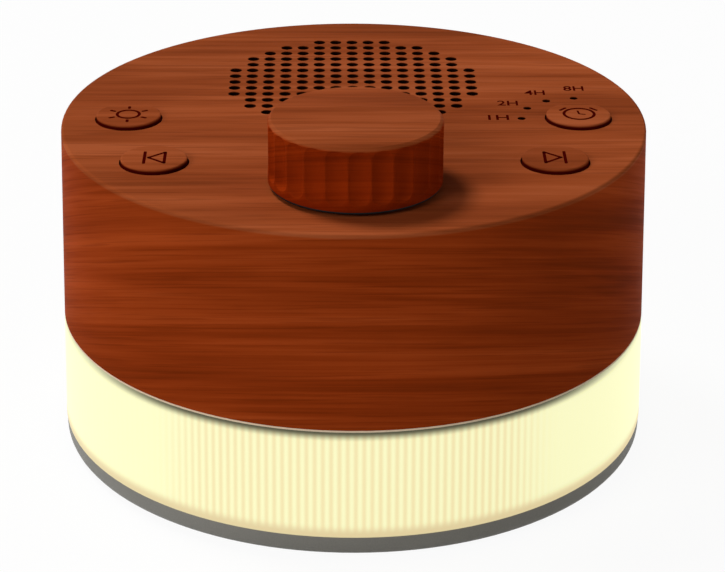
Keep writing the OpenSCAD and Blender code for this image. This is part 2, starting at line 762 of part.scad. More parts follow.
// ---- Speaker ----
module grille_cloth() {
    color("black") at_speaker() ring(0, cloth_r, z_cloth, z_ceiling);
}
module speaker_gasket() {
    color("dimgray") at_speaker() difference() {
        ring(gasket_in_r, flange_r - rest_gap, z_gasket, z_cloth);
        for (a = ear_angles)
            bar(polar(ear_ring_r, a), boss_r + fit_gap, z_gasket - past, z_cloth + past);
    }
}
module speaker_frame() {
    wall_x = 1.4 * frame_t;
    window_z = z_frame + 2.5 * frame_t;
    color("slategray") at_speaker() difference() {
        union() {
            rotate_extrude() polygon([
                [frame_bore_r, z_frame], [frame_foot_r, z_frame], [cone_opening_r + wall_x, z_flange_low],
                [flange_r, z_flange_low], [flange_r, z_lip], [cone_opening_r, z_lip],
                [cone_opening_r, z_flange_low], [frame_foot_r + frame_t - wall_x, z_frame + frame_t],
                [frame_bore_r, z_frame + frame_t]]);
            ring(ledge_in_r, ledge_out_r, z_frame + frame_t / 2, z_ledge);
            for (a = ear_angles) bar(polar(ear_ring_r, a), ear_r, z_flange_low, z_lip);
        }
        for (a = [0 : 90 : 270]) rotate([0, 0, a - 25]) rotate_extrude(angle = 50)
            translate([ledge_out_r + wall_x / 2, window_z])
                square([flange_r - ledge_out_r, z_flange_low - wall_x - window_z]);
        for (a = ear_angles)
            bar(polar(ear_ring_r, a), screw_r + screw_gap, z_flange_low - past, z_lip + past);
    }
}
module speaker_surround() {
    mid_r = (cone_r + cone_opening_r - fit_gap) / 2;
    roll_r = mid_r - cone_r;
    color("black") at_speaker() rotate_extrude() polygon(concat(
        [[cone_r - cone_lip_w, z_lip], [mid_r - roll_r, z_lip]],
        arc(mid_r, z_lip, roll_r, 180, 360, 10),
        [[cone_opening_r + surround_lip_w, z_lip], [cone_opening_r + surround_lip_w, z_gasket]],
        [[mid_r + roll_r - lip_t, z_gasket]],
        arc(mid_r, z_lip, roll_r - lip_t, 360, 180, 10),
        [[mid_r - roll_r + lip_t, z_gasket], [cone_r - cone_lip_w, z_gasket]]));
}
module speaker_cone() {
    color("darkslategray") at_speaker() rotate_extrude() polygon([
        [former_r, z_neck], [former_r + 1.5 * paper_t, z_neck], [cone_r - cone_lip_w, z_lip - paper_t],
        [cone_r - former_t, z_lip - paper_t], [cone_r - former_t, z_lip], [cone_r - cone_lip_w, z_lip],
        [former_r + former_t, z_neck + 1.25 * paper_t], [former_r, z_neck + 1.25 * paper_t]]);
}
module dust_cap() {
    cap_r = (cap_foot_r * cap_foot_r + cap_rise * cap_rise) / (2 * cap_rise);
    half_angle = asin(cap_foot_r / cap_r);
    color("black") at_speaker() rotate_extrude() polygon(concat(
        arc(0, z_cap + cap_rise - cap_r, cap_r, 90 - half_angle, 90, 8),
        arc(0, z_cap + cap_rise - cap_r, cap_r - paper_t, 90, 90 - half_angle, 8)));
}
module voice_coil() {
    color("peru") at_speaker() {
        ring(former_r - former_t, former_r, z_coil, z_neck + paper_t);
        ring(former_r - former_t / 4, former_r + winding_t, z_coil + rest_gap, z_coil + coil_h);
    }
}
module speaker_spider() {
    steps = 6;
    width = (ledge_in_r - former_r) / steps;
    low = [for (i = [0 : steps]) [former_r + fit_gap + i * width, z_ledge + (i % 2) * spider_wave]];
    color("goldenrod") at_speaker() rotate_extrude() polygon(concat(
        low, [[ledge_out_r, z_ledge], [ledge_out_r, z_ledge + spider_t]],
        [for (i = [steps : -1 : 0]) low[i] + [0, spider_t]]));
}
module speaker_front_plate() {
    color("silver") at_speaker() ring(gap_r, plate_r, z_front_plate, z_frame);
}
module speaker_magnet() {
    color("black") at_speaker() ring(magnet_hole_r, magnet_r, z_magnet, z_front_plate);
}
module speaker_yoke() {
    color("silver") at_speaker() {
        ring(0, plate_r, z_yoke, z_magnet);
        ring(0, pole_r, z_magnet - bite, z_frame);
    }
}
module speaker_terminals() {
    color("tan") difference() {
        block([0, terminal_y], terminal_w, terminal_t, z_terminal, z_flange_low);
        for (s = [-1, 1])
            translate([s * terminal_w * 0.3, terminal_y, z_terminal + 3 * terminal_hole_r]) rotate([90, 0, 0])
                cylinder(r = terminal_hole_r, h = terminal_t + past, center = true, $fn = small_fn);
    }
}
module speaker_screws() {
    color("silver") at_speaker() for (a = ear_angles)
        screw(polar(ear_ring_r, a), z_flange_low, frame_t + boss_hole_h - past);
}
module speaker_wires() {
    color("firebrick") for (s = [-1, 1])
        bar([s * wire_space / 2, lead_y], wire_r, z_main_top + plug[2], z_terminal + lead_lap);
}

// ---- Chassis and main board ----
module chassis() {
    color("dimgray") difference() {
        union() {
            ring(0, chassis_r, z_chassis, z_chassis_top);
            ring(chassis_r - rim_inset, chassis_r - rim_inset + rim_t, z_chassis, z_chassis_top + rim_t);
            for (p = pad_places) bar(p, pad_r, z_chassis, z_main);
            for (x = [-1, 1], y = [-1, 1]) bar([x, y] * tube_xy, tube_r, z_floor, z_chassis + bite);
        }
        for (a = post_angles) {
            bar(polar(post_ring_r, a), screw_r + screw_gap, z_chassis - past, z_chassis_top + past);
            bar(polar(post_ring_r, a), post_r + rest_gap, z_chassis_top, z_chassis_top + rim_t + past);
        }
        for (p = pad_places) bar(p, screw_r, z_main - pad_hole_h, z_main + past);
        for (x = [-1, 1], y = [-1, 1])
            bar([x, y] * tube_xy, screw_r, z_floor - past, z_floor + base_screw_l);
        bar([-lead_x, 0], wire_space, z_chassis - past, z_chassis_top + past);
    }
}
module chassis_screws() {
    color("silver") for (a = post_angles) screw(polar(post_ring_r, a), z_chassis, chassis_t + thread_depth);
}
module main_board() {
    color("darkgreen") difference() {
        intersection() {
            ring(0, main_back_r, z_main, z_main_top);
            translate([-main_half_w, main_front_y, z_main - past])
                cube([2 * main_half_w, main_back_r - main_front_y, board_t + 2 * past]);
        }
        for (p = pad_places) bar(p, screw_r + screw_gap, z_main - past, z_main_top + past);
    }
}
module main_board_screws() {
    color("silver") for (p = pad_places) screw(p, z_main_top, board_t + pad_hole_h - rest_gap, up = false);
}
module audio_chips() {
    color("black") for (i = [0 : len(chip_places) - 1])
        block(chip_places[i], chip_sizes[i][0], chip_sizes[i][1], z_main_top, z_main_top + chip_sizes[i][2]);
}
module capacitors() {
    color("navy") for (p = capacitor_places) bar(p, capacitor_r, z_main_top, z_main_top + capacitor_h);
}
module wire_connectors() {
    color("ivory") {
        block([0, lead_y], plug[0], plug[1], z_main_top, z_main_top + plug[2]);
        block([lamp_plug_x, 0], plug[1], plug[0], z_main_top, z_main_top + plug[2]);
        block([ribbon_x, ribbon_end_y + plug[1] / 2], ribbon_plug_w, plug[1],
            z_main_top, z_main_top + ribbon_plug_h);
        block([ribbon_x, ribbon_y], ribbon_plug_w, plug[1], z_board - ribbon_plug_h, z_board);
    }
}
module inlet_socket() {
    color("silver") translate([0, inlet_mouth_y, z_inlet]) rotate([90, 0, 0]) difference() {
        linear_extrude(height = inlet_l) inlet_outline(0);
        translate([0, 0, -past]) linear_extrude(height = inlet_l + past - inlet_back_t)
            inlet_outline(-inlet_skin);
    }
}
module inlet_tongue() {
    color("black") block([0, inlet_mouth_y - inlet_l / 2], tongue_w, inlet_l - 2 * inlet_back_t,
        z_inlet - tongue_t / 2, z_inlet + tongue_t / 2);
}
module control_ribbon() {
    left = ribbon_x - ribbon_w / 2;
    color("white") {
        translate([left, ribbon_y - ribbon_t / 2, z_ribbon + ribbon_bend_r])
            cube([ribbon_w, ribbon_t, z_board - ribbon_plug_h - z_ribbon - ribbon_bend_r]);
        translate([left, ribbon_y + ribbon_bend_r, z_ribbon + ribbon_bend_r]) rotate([0, 90, 0])
            rotate(270) rotate_extrude(angle = 90)
                translate([ribbon_bend_r - ribbon_t / 2, 0]) square([ribbon_t, ribbon_w]);
        translate([left, ribbon_y + ribbon_bend_r, z_ribbon - ribbon_t / 2])
            cube([ribbon_w, ribbon_end_y - ribbon_y - ribbon_bend_r, ribbon_t]);
    }
}
module lamp_wires() {
    z_wire = z_main_top + plug[2] / 2;
    plug_face_x = lamp_plug_x - plug[1] / 2;
    color("firebrick") for (s = [-1, 1]) translate([0, s * wire_space / 2, 0]) {
        bar([-lead_x, 0], wire_r, z_lamp_top, z_wire - wire_bend_r);
        translate([-lead_x + wire_bend_r, 0, z_wire - wire_bend_r]) rotate([90, 0, 0]) rotate(90)
            rotate_extrude(angle = 90) translate([wire_bend_r, 0]) circle(r = wire_r, $fn = small_fn);
        translate([-lead_x + wire_bend_r, 0, z_wire]) rotate([0, 90, 0])
            cylinder(r = wire_r, h = plug_face_x + lead_x - wire_bend_r, $fn = small_fn);
    }
}

// ---- Night light and base ----
module reflector() {
    rim_z = z_chassis - reflector_rim_t;
    rim_r = chassis_r - 2 * rest_gap;
    color("white") rotate_extrude() polygon([
        [reflector_foot_r, z_lamp_top], [reflector_r(rim_z), rim_z], [rim_r, rim_z], [rim_r, z_chassis],
        [reflector_rim_r - reflector_t, z_chassis], [reflector_foot_r - reflector_t, z_lamp_top]]);
}
module lamp_board() {
    color("whitesmoke") difference() {
        ring(lamp_board_r, lamp_board_out_r, z_lamp, z_lamp_top);
        for (a = lamp_screw_angles)
            bar(polar(lamp_screw_r, a), screw_r + screw_gap, z_lamp - past, z_lamp_top + past);
    }
}
module lamps() {
    color("gold") for (i = [0 : lamp_count - 1]) rotate(360 / lamp_count * i)
        block([lamp_ring_r, 0], lamp_size[0], lamp_size[1], z_lamp_top, z_lamp_top + lamp_size[2]);
}
module lamp_board_screws() {
    color("silver") for (a = lamp_screw_angles)
        screw(polar(lamp_screw_r, a), z_lamp_top, lamp_board_t + lamp_hole_h - rest_gap, up = false);
}
module glow_ring() {
    rib_outline = [for (i = [0 : 2 * rib_count - 1]) let (a = 180 / rib_count * i)
        polar(i % 2 == 0 ? rib_root_r : rib_crest_r, a)];
    color("lightyellow") difference() {
        rotate_extrude() polygon([
            [0, z_ring], [ring_low_r, z_ring], [edge_r, z_housing], [collar_r, z_housing],
            [collar_r, z_housing + rebate_h - bite], [0, z_housing + rebate_h - bite]]);
        bar([0, 0], rib_crest_r - band_step, z_ring - past, z_ring + rib_low + past, 96);
        translate([0, 0, z_ring + rib_low])
            linear_extrude(height = ring_h - rib_low - collar_low) polygon(rib_outline);
        bar([0, 0], collar_r - collar_t, z_housing - collar_low - past, z_housing + rebate_h + past, 96);
    }
}
module base_plate() {
    color("gray") difference() {
        union() {
            rotate_extrude() polygon(concat(
                [[0, z_base]],
                [for (i = [0 : 6]) let (a = 90 * i / 6)
                    [base_r - base_inset + base_inset * sin(a), z_base + base_inset * (1 - cos(a))]],
                [[base_r, z_ring], [base_wall_r, z_ring],
                 [base_wall_r, z_floor + base_wall_h],
                 [base_wall_r - base_wall_t, z_floor + base_wall_h],
                 [base_wall_r - base_wall_t, z_floor], [0, z_floor]]));
            ring(lamp_board_out_r - 2 * lamp_rib_t, lamp_board_out_r - lamp_rib_t, z_floor - bite, z_lamp);
            ring(lamp_board_r + bite, lamp_board_r + bite + lamp_rib_t, z_floor - bite, z_lamp);
            for (a = lamp_screw_angles) bar(polar(lamp_screw_r, a), lamp_boss_r, z_floor - bite, z_lamp);
        }
        ring(foot_r - foot_w, foot_r, z_base - past, z_base + foot_groove);
        for (a = lamp_screw_angles) bar(polar(lamp_screw_r, a), screw_r, z_lamp - lamp_hole_h, z_lamp + past);
        for (x = [-1, 1], y = [-1, 1]) {
            bar([x, y] * tube_xy, screw_r + screw_gap, z_base - past, z_floor + past);
            bar([x, y] * tube_xy, screw_head_r + head_gap, z_base - past, z_base + screw_head_h + fit_gap);
        }
    }
}
module base_screws() {
    color("silver") for (x = [-1, 1], y = [-1, 1])
        screw([x, y] * tube_xy, z_base + screw_head_h + fit_gap, base_screw_l);
}
module foot_ring() {
    color("darkgray") ring(foot_r - foot_w + fit_gap, foot_r - fit_gap, 0, z_base + foot_groove);
}

housing();
knob_cap();
knob_hub();
encoder_shaft();
encoder_rotor();
encoder_bushing();
encoder_body();
light_key();
previous_key();
next_key();
timer_key();
light_plunger();
previous_plunger();
next_plunger();
timer_plunger();
switch_bodies();
control_board();
timer_lights();
timer_light_shield();
control_board_screws();
grille_cloth();
speaker_gasket();
speaker_frame();
speaker_surround();
speaker_cone();
dust_cap();
voice_coil();
speaker_spider();
speaker_front_plate();
speaker_magnet();
speaker_yoke();
speaker_terminals();
speaker_screws();
speaker_wires();
chassis();
chassis_screws();
main_board();
main_board_screws();
audio_chips();
capacitors();
wire_connectors();
inlet_socket();
inlet_tongue();
control_ribbon();
lamp_wires();
reflector();
lamp_board();
lamps();
lamp_board_screws();
glow_ring();
base_plate();
base_screws();
foot_ring();
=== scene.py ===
# %% [markdown]
# # A white noise sound machine
# A drum of wood-look plastic stands on a glowing ring and a thin grey base. On its flat top are
# a fluted knob, four round keys, four small timer lights and a round field of speaker holes.
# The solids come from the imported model. Blender adds the finishes, the marks on the keys, the
# hour marks and a knob with softened edges, then the light and the camera.

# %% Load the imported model
import json
import math

import bpy
from mathutils import Matrix, Vector


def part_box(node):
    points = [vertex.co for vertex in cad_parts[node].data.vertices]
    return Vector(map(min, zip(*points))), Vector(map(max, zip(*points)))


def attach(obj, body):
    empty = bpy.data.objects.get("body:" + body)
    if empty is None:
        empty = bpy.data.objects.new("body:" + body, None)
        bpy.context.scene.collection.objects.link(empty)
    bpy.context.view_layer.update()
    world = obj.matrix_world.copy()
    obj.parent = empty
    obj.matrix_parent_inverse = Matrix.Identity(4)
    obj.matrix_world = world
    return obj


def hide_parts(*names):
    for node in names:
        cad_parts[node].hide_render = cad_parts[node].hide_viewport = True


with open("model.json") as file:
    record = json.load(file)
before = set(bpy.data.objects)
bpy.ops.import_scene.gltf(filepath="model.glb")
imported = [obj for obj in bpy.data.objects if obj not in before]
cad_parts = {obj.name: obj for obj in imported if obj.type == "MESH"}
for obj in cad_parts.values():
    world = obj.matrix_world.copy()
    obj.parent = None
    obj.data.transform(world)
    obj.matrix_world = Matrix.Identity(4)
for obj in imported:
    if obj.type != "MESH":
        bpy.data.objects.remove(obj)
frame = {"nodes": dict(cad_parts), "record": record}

nodes = frame["nodes"]
bpy.context.view_layer.update()

# %% [markdown]
# ## Units and small helpers
# The scene is in metres and the object is measured in millimetres, so sizes are written as a
# number times MM. Nothing may be selected when a new shape is added, because an operator acts
# on all that is selected. A finished piece keeps its place in its mesh, and its object stays
# at the origin.

# %% Units and helpers
MM = 0.001


def levels(node):
    """The lowest and highest level of a solid, in millimetres."""
    low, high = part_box(node)
    return low[2] / MM, high[2] / MM


def middle(node):
    """The middle of a solid seen from above, in millimetres."""
    low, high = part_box(node)
    return (low[0] + high[0]) / 2 / MM, (low[1] + high[1]) / 2 / MM


HOUSING_LOW, HOUSING_HIGH = levels("housing")
RING_LOW = levels("glow_ring")[0]
print("The drum stands from", round(HOUSING_LOW, 2), "to", round(HOUSING_HIGH, 2), "mm")


def deselect():
    """Leaves nothing selected and no object in edit mode."""
    if bpy.context.object and bpy.context.object.mode == "EDIT":
        bpy.ops.object.mode_set(mode="OBJECT")
    bpy.ops.object.select_all(action="DESELECT")


def only(piece):
    """Makes the piece the one selected and active object."""
    deselect()
    piece.select_set(True)
    bpy.context.view_layer.objects.active = piece
    return piece


def settle(piece):
    """Puts the piece's place, turn and scale in its mesh."""
    only(piece)
    bpy.ops.object.transform_apply(location=True, rotation=True, scale=True)
    return piece


def join(pieces, name):
    """Joins several shapes into one piece."""
    only(pieces[0])
    for piece in pieces[1:]:
        piece.select_set(True)
    bpy.ops.object.join()
    joined = settle(bpy.context.object)
    joined.name = joined.data.name = name
    return joined


def apply_modifier(piece, kind, **settings):
    """Adds a modifier, sets it and applies it."""
    only(piece)
    modifier = piece.modifiers.new(kind.title(), kind)
    for key, value in settings.items():
        setattr(modifier, key, value)
    bpy.ops.object.modifier_apply(modifier=modifier.name)
    return piece


# %% [markdown]
# ## Colours and nodes
# Colours are written as the eye sees them, in sRGB, and turned to linear light once, here.
# One function adds a shader node: a value that is another node's socket is linked, and any
# other value is typed into the input.

# %% Colours and nodes
def colour(code):
    """Turns a colour such as "9B3A0F" from sRGB to linear light."""
    shares = [int(code[i:i + 2], 16) / 255 for i in (0, 2, 4)]
    return [c / 12.92 if c <= 0.04045 else ((c + 0.055) / 1.055) ** 2.4 for c in shares] + [1.0]


def add(tree, kind, values=None, **settings):
    """Adds a node with its settings, typed values and links."""
    node = tree.nodes.new(kind)
    for key, value in settings.items():
        setattr(node, key, value)
    for key, value in (values or {}).items():
        if isinstance(value, bpy.types.NodeSocket):
            tree.links.new(value, node.inputs[key])
        else:
            node.inputs[key].default_value = value
    return node


def start_material(name, roughness, metallic=0.0, **values):
    """Makes a material and returns it with its tree and its main shader."""
    material = bpy.data.materials.new(name)
    material.use_nodes = True
    tree = material.node_tree
    shader = tree.nodes["Principled BSDF"]
    shader.inputs["Roughness"].default_value = roughness
    shader.inputs["Metallic"].default_value = metallic
    for key, value in values.items():
        shader.inputs[key.replace("_", " ")].default_value = value
    return material, tree, shader


def millimetres(tree, scale=(1, 1, 1), move=(0, 0, 0), turn=(0, 0, 0)):
    """Object coordinates in millimetres, moved and turned, then times a scale per axis."""
    place = add(tree, "ShaderNodeTexCoord").outputs["Object"]
    measured = add(tree, "ShaderNodeMapping", {"Vector": place, "Scale": [1 / MM] * 3}).outputs[0]
    moved = add(tree, "ShaderNodeMapping", {"Vector": measured, "Location": move, "Rotation": turn})
    return add(tree, "ShaderNodeMapping", {"Vector": moved.outputs[0], "Scale": scale}).outputs[0]


def set_stops(elements, stops):
    """Gives a colour ramp its (place, colour code) stops."""
    while len(elements) < len(stops):
        elements.new(0.5)
    for element, (place, code) in zip(elements, stops):
        element.position = place
        element.color = colour(code)


def link_finish(tree, shader, base, height, depth_mm, strength=1.0, gloss=None):
    """Links a colour, a height pattern that is depth_mm deep and, if given, a roughness."""
    dents = add(tree, "ShaderNodeBump", {
        "Height": height, "Distance": depth_mm * MM, "Strength": strength})
    tree.links.new(dents.outputs["Normal"], shader.inputs["Normal"])
    tree.links.new(base, shader.inputs["Base Color"])
    if gloss:
        tree.links.new(gloss, shader.inputs["Roughness"])


materials = {}

# %% [markdown]
# ## Wood-look film
# The drum, keys and knob are moulded ABS under a printed cherry film with a matt lacquer. The
# print is of a board whose grain runs left to right. Its growth layers lean back by 25 degrees,
# so its streaks lie level from the front and don't follow the drum round. Three stretched
# noises make it: broad bands about 6 mm high, streaks of about 1 mm, and dark pores about
# 0.3 mm high and 20 mm long. A fourth one adds slow blotches. An image of wood would be
# simpler, but it has a seam and blurs close up, and noise in solid space has neither fault.

# %% Sizes and colours of the print
LAYER_LEAN = math.radians(24.7)
# How often a noise repeats in a millimetre: left to right, front to back, and up.
BANDS, STREAKS = (0.009, 0.009, 0.17), (0.016, 0.016, 1.15)
PORES, BLOTCHES = (0.05, 0.03, 3.2), (0.03, 0.04, 0.05)
PRINT_STOPS = [(0.34, "833C1B"), (0.44, "974621"), (0.53, "A75129"), (0.63, "B65D34")]
PORE_COLOUR, KEY_WALL_SHADE = "703013", "4C0602"
print("Bands repeat every", round(1 / BANDS[2], 1), "mm and streaks every",
      round(1 / STREAKS[2], 1), "mm, on layers that lean", round(math.degrees(LAYER_LEAN), 1),
      "degrees")

# %% [markdown]
# The side walls are painted darker and redder than the top faces, as the shade that falls on the
# sides, so each material changes its tone at the level of its piece's top edge. The keys' walls
# are painted dark brown, as the shade on them. A matt lacquer throws back little of the white
# room, so the specular level is low and the brown stays deep.

# %% The print
TONE_BLUR = 0.15


def painted_wall_shade(tree, film, wall_shade):
    """The walls' painted shade: the film darkened and reddened by the tint wall_shade, or the keys'
    walls painted dark.
    """
    if wall_shade == "painted_edge":
        return colour(KEY_WALL_SHADE)
    return add(tree, "ShaderNodeMix", {
        0: 1.0, 6: film, 7: colour(wall_shade)}, data_type="RGBA", blend_type="MULTIPLY").outputs[2]


def wood_film(name, shift, edge, wall_shade):
    """Matt cherry print; shift moves the board, and below the level edge it takes the painted shade
    wall_shade.
    """
    material, tree, shader = start_material(name, 0.6, Specular_IOR_Level=0.006)

    def grain(scale, detail, rough, distortion=0.0):
        place = millimetres(tree, scale, shift, (LAYER_LEAN, 0, 0))
        return add(tree, "ShaderNodeTexNoise", {
            "Vector": place, "Scale": 1.0, "Detail": detail, "Roughness": rough,
            "Distortion": distortion}).outputs["Fac"]

    bands = grain(BANDS, 3, 0.55, 0.6)
    streaks = grain(STREAKS, 4, 0.6, 0.3)
    pores = grain(PORES, 2, 0.5)
    blotches = grain(BLOTCHES, 2, 0.5)
    layers = add(tree, "ShaderNodeMath", {0: bands, 1: 0.6}, operation="MULTIPLY").outputs[0]
    layers = add(tree, "ShaderNodeMath", {0: streaks, 1: 0.4, 2: layers},
                 operation="MULTIPLY_ADD").outputs[0]
    print_colour = add(tree, "ShaderNodeValToRGB", {"Fac": layers})
    set_stops(print_colour.color_ramp.elements, PRINT_STOPS)
    pore_mask = add(tree, "ShaderNodeMapRange", {
        "Value": pores, "From Min": 0.36, "From Max": 0.46, "To Min": 0.32, "To Max": 0.0})
    pored = add(tree, "ShaderNodeMix", {
        0: pore_mask.outputs[0], 6: print_colour.outputs["Color"], 7: colour(PORE_COLOUR)},
        data_type="RGBA")
    shade = add(tree, "ShaderNodeMapRange", {
        "Value": blotches, "From Min": 0.3, "From Max": 0.7, "To Min": 0.93, "To Max": 1.07})
    shaded = add(tree, "ShaderNodeMix", {
        0: 1.0, 6: pored.outputs[2], 7: shade.outputs[0]}, data_type="RGBA", blend_type="MULTIPLY")
    level = add(tree, "ShaderNodeSeparateXYZ", {0: millimetres(tree)}).outputs["Z"]
    # Below the level edge the wall takes its painted shade.
    on_wall = add(tree, "ShaderNodeMapRange", {
        "Value": level, "From Min": edge - TONE_BLUR, "From Max": edge + TONE_BLUR,
        "To Min": 1.0, "To Max": 0.0})
    toned = add(tree, "ShaderNodeMix", {
        0: on_wall.outputs[0], 6: shaded.outputs[2], 7: painted_wall_shade(tree, shaded.outputs[2], wall_shade)},
        data_type="RGBA")
    gloss = add(tree, "ShaderNodeMapRange", {
        "Value": streaks, "From Min": 0.3, "From Max": 0.7, "To Min": 0.66, "To Max": 0.56})
    link_finish(tree, shader, toned.outputs[2], pores, 0.02, 0.35, gloss.outputs[0])
    return material


# %% [markdown]
# The film covers only what can be seen of the drum. The walls of its holes and its inside are
# painted near black, as the shade in them, and a pale line is painted along its lower rim, as the
# ring's glow caught on its edge. The same trick as for the walls' tone draws them: a test of how
# far a point is from the drum's axis, and how high.

# %% Where the film ends on the drum
HOUSING_R = 50.15
FILM_SIDE_DEPTH, FILM_TOP_DEPTH, RIM_HIGHLIGHT_HIGH = 0.6, 0.12, 0.32
INSIDE_SHADE_COLOUR, RIM_HIGHLIGHT_COLOUR = "1E0603", "F6DDBE"


def paint_hole_shade_and_rim_highlight(material):
    """Keeps the film on the drum's outside, with painted shade in its holes and a painted highlight
    along its lower rim.
    """
    tree = material.node_tree
    shader = tree.nodes["Principled BSDF"]
    film = shader.inputs["Base Color"].links[0].from_socket
    place = add(tree, "ShaderNodeSeparateXYZ", {0: millimetres(tree)})
    flat = add(tree, "ShaderNodeCombineXYZ", {0: place.outputs["X"], 1: place.outputs["Y"]})
    radius = add(tree, "ShaderNodeVectorMath", {0: flat.outputs[0]}, operation="LENGTH")
    on_side = add(tree, "ShaderNodeMath", {
        0: radius.outputs["Value"], 1: HOUSING_R - FILM_SIDE_DEPTH}, operation="GREATER_THAN")
    on_top = add(tree, "ShaderNodeMath", {
        0: place.outputs["Z"], 1: HOUSING_HIGH - FILM_TOP_DEPTH}, operation="GREATER_THAN")
    outside = add(tree, "ShaderNodeMath", {0: on_side.outputs[0], 1: on_top.outputs[0]},
                  operation="MAXIMUM")
    # Painted shade: the walls of the holes and the inside are near black.
    covered = add(tree, "ShaderNodeMix", {
        0: outside.outputs[0], 6: colour(INSIDE_SHADE_COLOUR), 7: film}, data_type="RGBA")
    # Painted highlight: a pale line along the drum's lower rim, the ring's glow on its edge.
    painted_edge = add(tree, "ShaderNodeMath", {0: place.outputs["Z"], 1: HOUSING_LOW + RIM_HIGHLIGHT_HIGH},
               operation="LESS_THAN")
    trimmed = add(tree, "ShaderNodeMix", {
        0: painted_edge.outputs[0], 6: covered.outputs[2], 7: colour(RIM_HIGHLIGHT_COLOUR)}, data_type="RGBA")
    tree.links.new(trimmed.outputs[2], shader.inputs["Base Color"])
    return material


# %% [markdown]
# Each of the three pieces is cut from another part of the board, so its streaks don't run on
# from its neighbour's. The numbers in brackets say how far the board is moved, in millimetres.

# %% The three films
# The walls' tints darken and redden the film on the drum's and the knob's sides: painted shade.
DRUM_WALL_SHADE, KNOB_WALL_SHADE = "F8CE9C", "F0A85C"
KEY_EDGE = levels("light_key")[1] - 0.3
DRUM_EDGE = HOUSING_HIGH - 0.7
KNOB_EDGE = levels("knob_cap")[1] - 0.5
# The keys' walls are painted dark brown: painted shade.
materials["wood_grain"] = wood_film("matt_cherry_film_on_keys", (0, 0, 0), KEY_EDGE, "painted_edge")
materials["wood_drum"] = paint_hole_shade_and_rim_highlight(
    wood_film("matt_cherry_film_on_drum", (13, 40, 61), DRUM_EDGE, DRUM_WALL_SHADE))
materials["wood_knob"] = wood_film("matt_cherry_film_on_knob", (37, 11, 23), KNOB_EDGE, KNOB_WALL_SHADE)
print("The tone turns at", [round(edge, 2) for edge in (KEY_EDGE, DRUM_EDGE, KNOB_EDGE)], "mm")

# %% [markdown]
# ## Frosted glowing ring
# The ring is moulded from frosted polycarbonate, lit from inside by the lamps on their board.
# It glows a warm cream. The fine ribs inside show as soft upright stripes, one for each rib,
# and they are clearest at the front and the back. The light fades to tan in the last two
# millimetres over the base, and to a dark grey-green where the collar and the drum stand in
# front of the lamps. Real light through frosted plastic is slow and grainy to trace, so the
# glow is painted: the stripes from the angle round the ring, and the fades from the height.

# %% Sizes and colours of the glow
STRIPE_COUNT = 240
RING_GLOW = 0.86
# Where the stripes and the drum's shade grow from their least share to full, from the middle.
STRIPES_FRONT, SHADE_FRONT = (38.0, 46.0, 0.06), (18.0, 44.0, 0.25)
# Heights of the fades, from the ring's lower edge and down from the drum.
LOW_FADE, HIGH_FADE = (0.4, 2.4), (1.8, 0.1)
LIT_COLOUR, STRIPE_COLOUR, LOW_COLOUR, HIGH_COLOUR = "FFFFCA", "F6E6B0", "E2CE9C", "3C3B2B"
print("One stripe every", round(360 / STRIPE_COUNT, 2), "degrees")


# %% Frosted glowing ring
def frosted_ring():
    """Lit polycarbonate with stripes for its ribs, and fades at its two edges."""
    material, tree, shader = start_material("frosted_polycarbonate_lit", 0.5, IOR=1.58,
                                            Specular_IOR_Level=0.2, Emission_Strength=RING_GLOW)
    place = add(tree, "ShaderNodeSeparateXYZ", {0: millimetres(tree)})
    ahead = add(tree, "ShaderNodeMath", {0: place.outputs["Y"]}, operation="ABSOLUTE")

    def fade(value, start, end, share_start, share_end):
        return add(tree, "ShaderNodeMapRange", {
            "Value": value, "From Min": start, "From Max": end, "To Min": share_start,
            "To Max": share_end}, interpolation_type="SMOOTHSTEP").outputs[0]

    def blend(share, first, second):
        return add(tree, "ShaderNodeMix", {0: share, 6: first, 7: second},
                   data_type="RGBA").outputs[2]

    def towards_front(near, far, least):
        return fade(ahead.outputs[0], near, far, least, 1.0)

    angle = add(tree, "ShaderNodeMath", {0: place.outputs["Y"], 1: place.outputs["X"]},
                operation="ARCTAN2")
    wave = add(tree, "ShaderNodeMath", {0: angle.outputs[0], 1: float(STRIPE_COUNT)},
               operation="MULTIPLY")
    wave = add(tree, "ShaderNodeMath", {0: wave.outputs[0]}, operation="COSINE")
    stripe = add(tree, "ShaderNodeMapRange", {
        "Value": wave.outputs[0], "From Min": -1.0, "From Max": 1.0, "To Min": 0.0, "To Max": 1.0})
    stripe = add(tree, "ShaderNodeMath", {
        0: stripe.outputs[0], 1: towards_front(*STRIPES_FRONT)}, operation="MULTIPLY").outputs[0]
    low = fade(place.outputs["Z"], RING_LOW + LOW_FADE[0], RING_LOW + LOW_FADE[1], 1.0, 0.0)
    high = fade(place.outputs["Z"], HOUSING_LOW - HIGH_FADE[0], HOUSING_LOW - HIGH_FADE[1],
                0.0, 1.0)
    high = add(tree, "ShaderNodeMath", {0: high, 1: towards_front(*SHADE_FRONT)},
               operation="MULTIPLY").outputs[0]
    lit = blend(stripe, colour(LIT_COLOUR), colour(STRIPE_COLOUR))
    glow = blend(high, blend(low, lit, colour(LOW_COLOUR)), colour(HIGH_COLOUR))
    tree.links.new(glow, shader.inputs["Emission Color"])
    # The base colour is painted darker under the drum too, as the shade of the collar and the drum.
    body = blend(high, colour("7C7962"), colour("545340"))
    tree.links.new(body, shader.inputs["Base Color"])
    return material


materials["frosted_ring"] = frosted_ring()

# %% [markdown]
# ## Moulded plastics and rubber
# Small housings, keys' stems and the base are injection moulded. The steel mould is spark
# eroded, which leaves a fine grain: about 0.25 mm between bumps on the base. It is drawn at
# that size, and it breaks up the gloss. Rubber and foam have a coarser, duller grain.

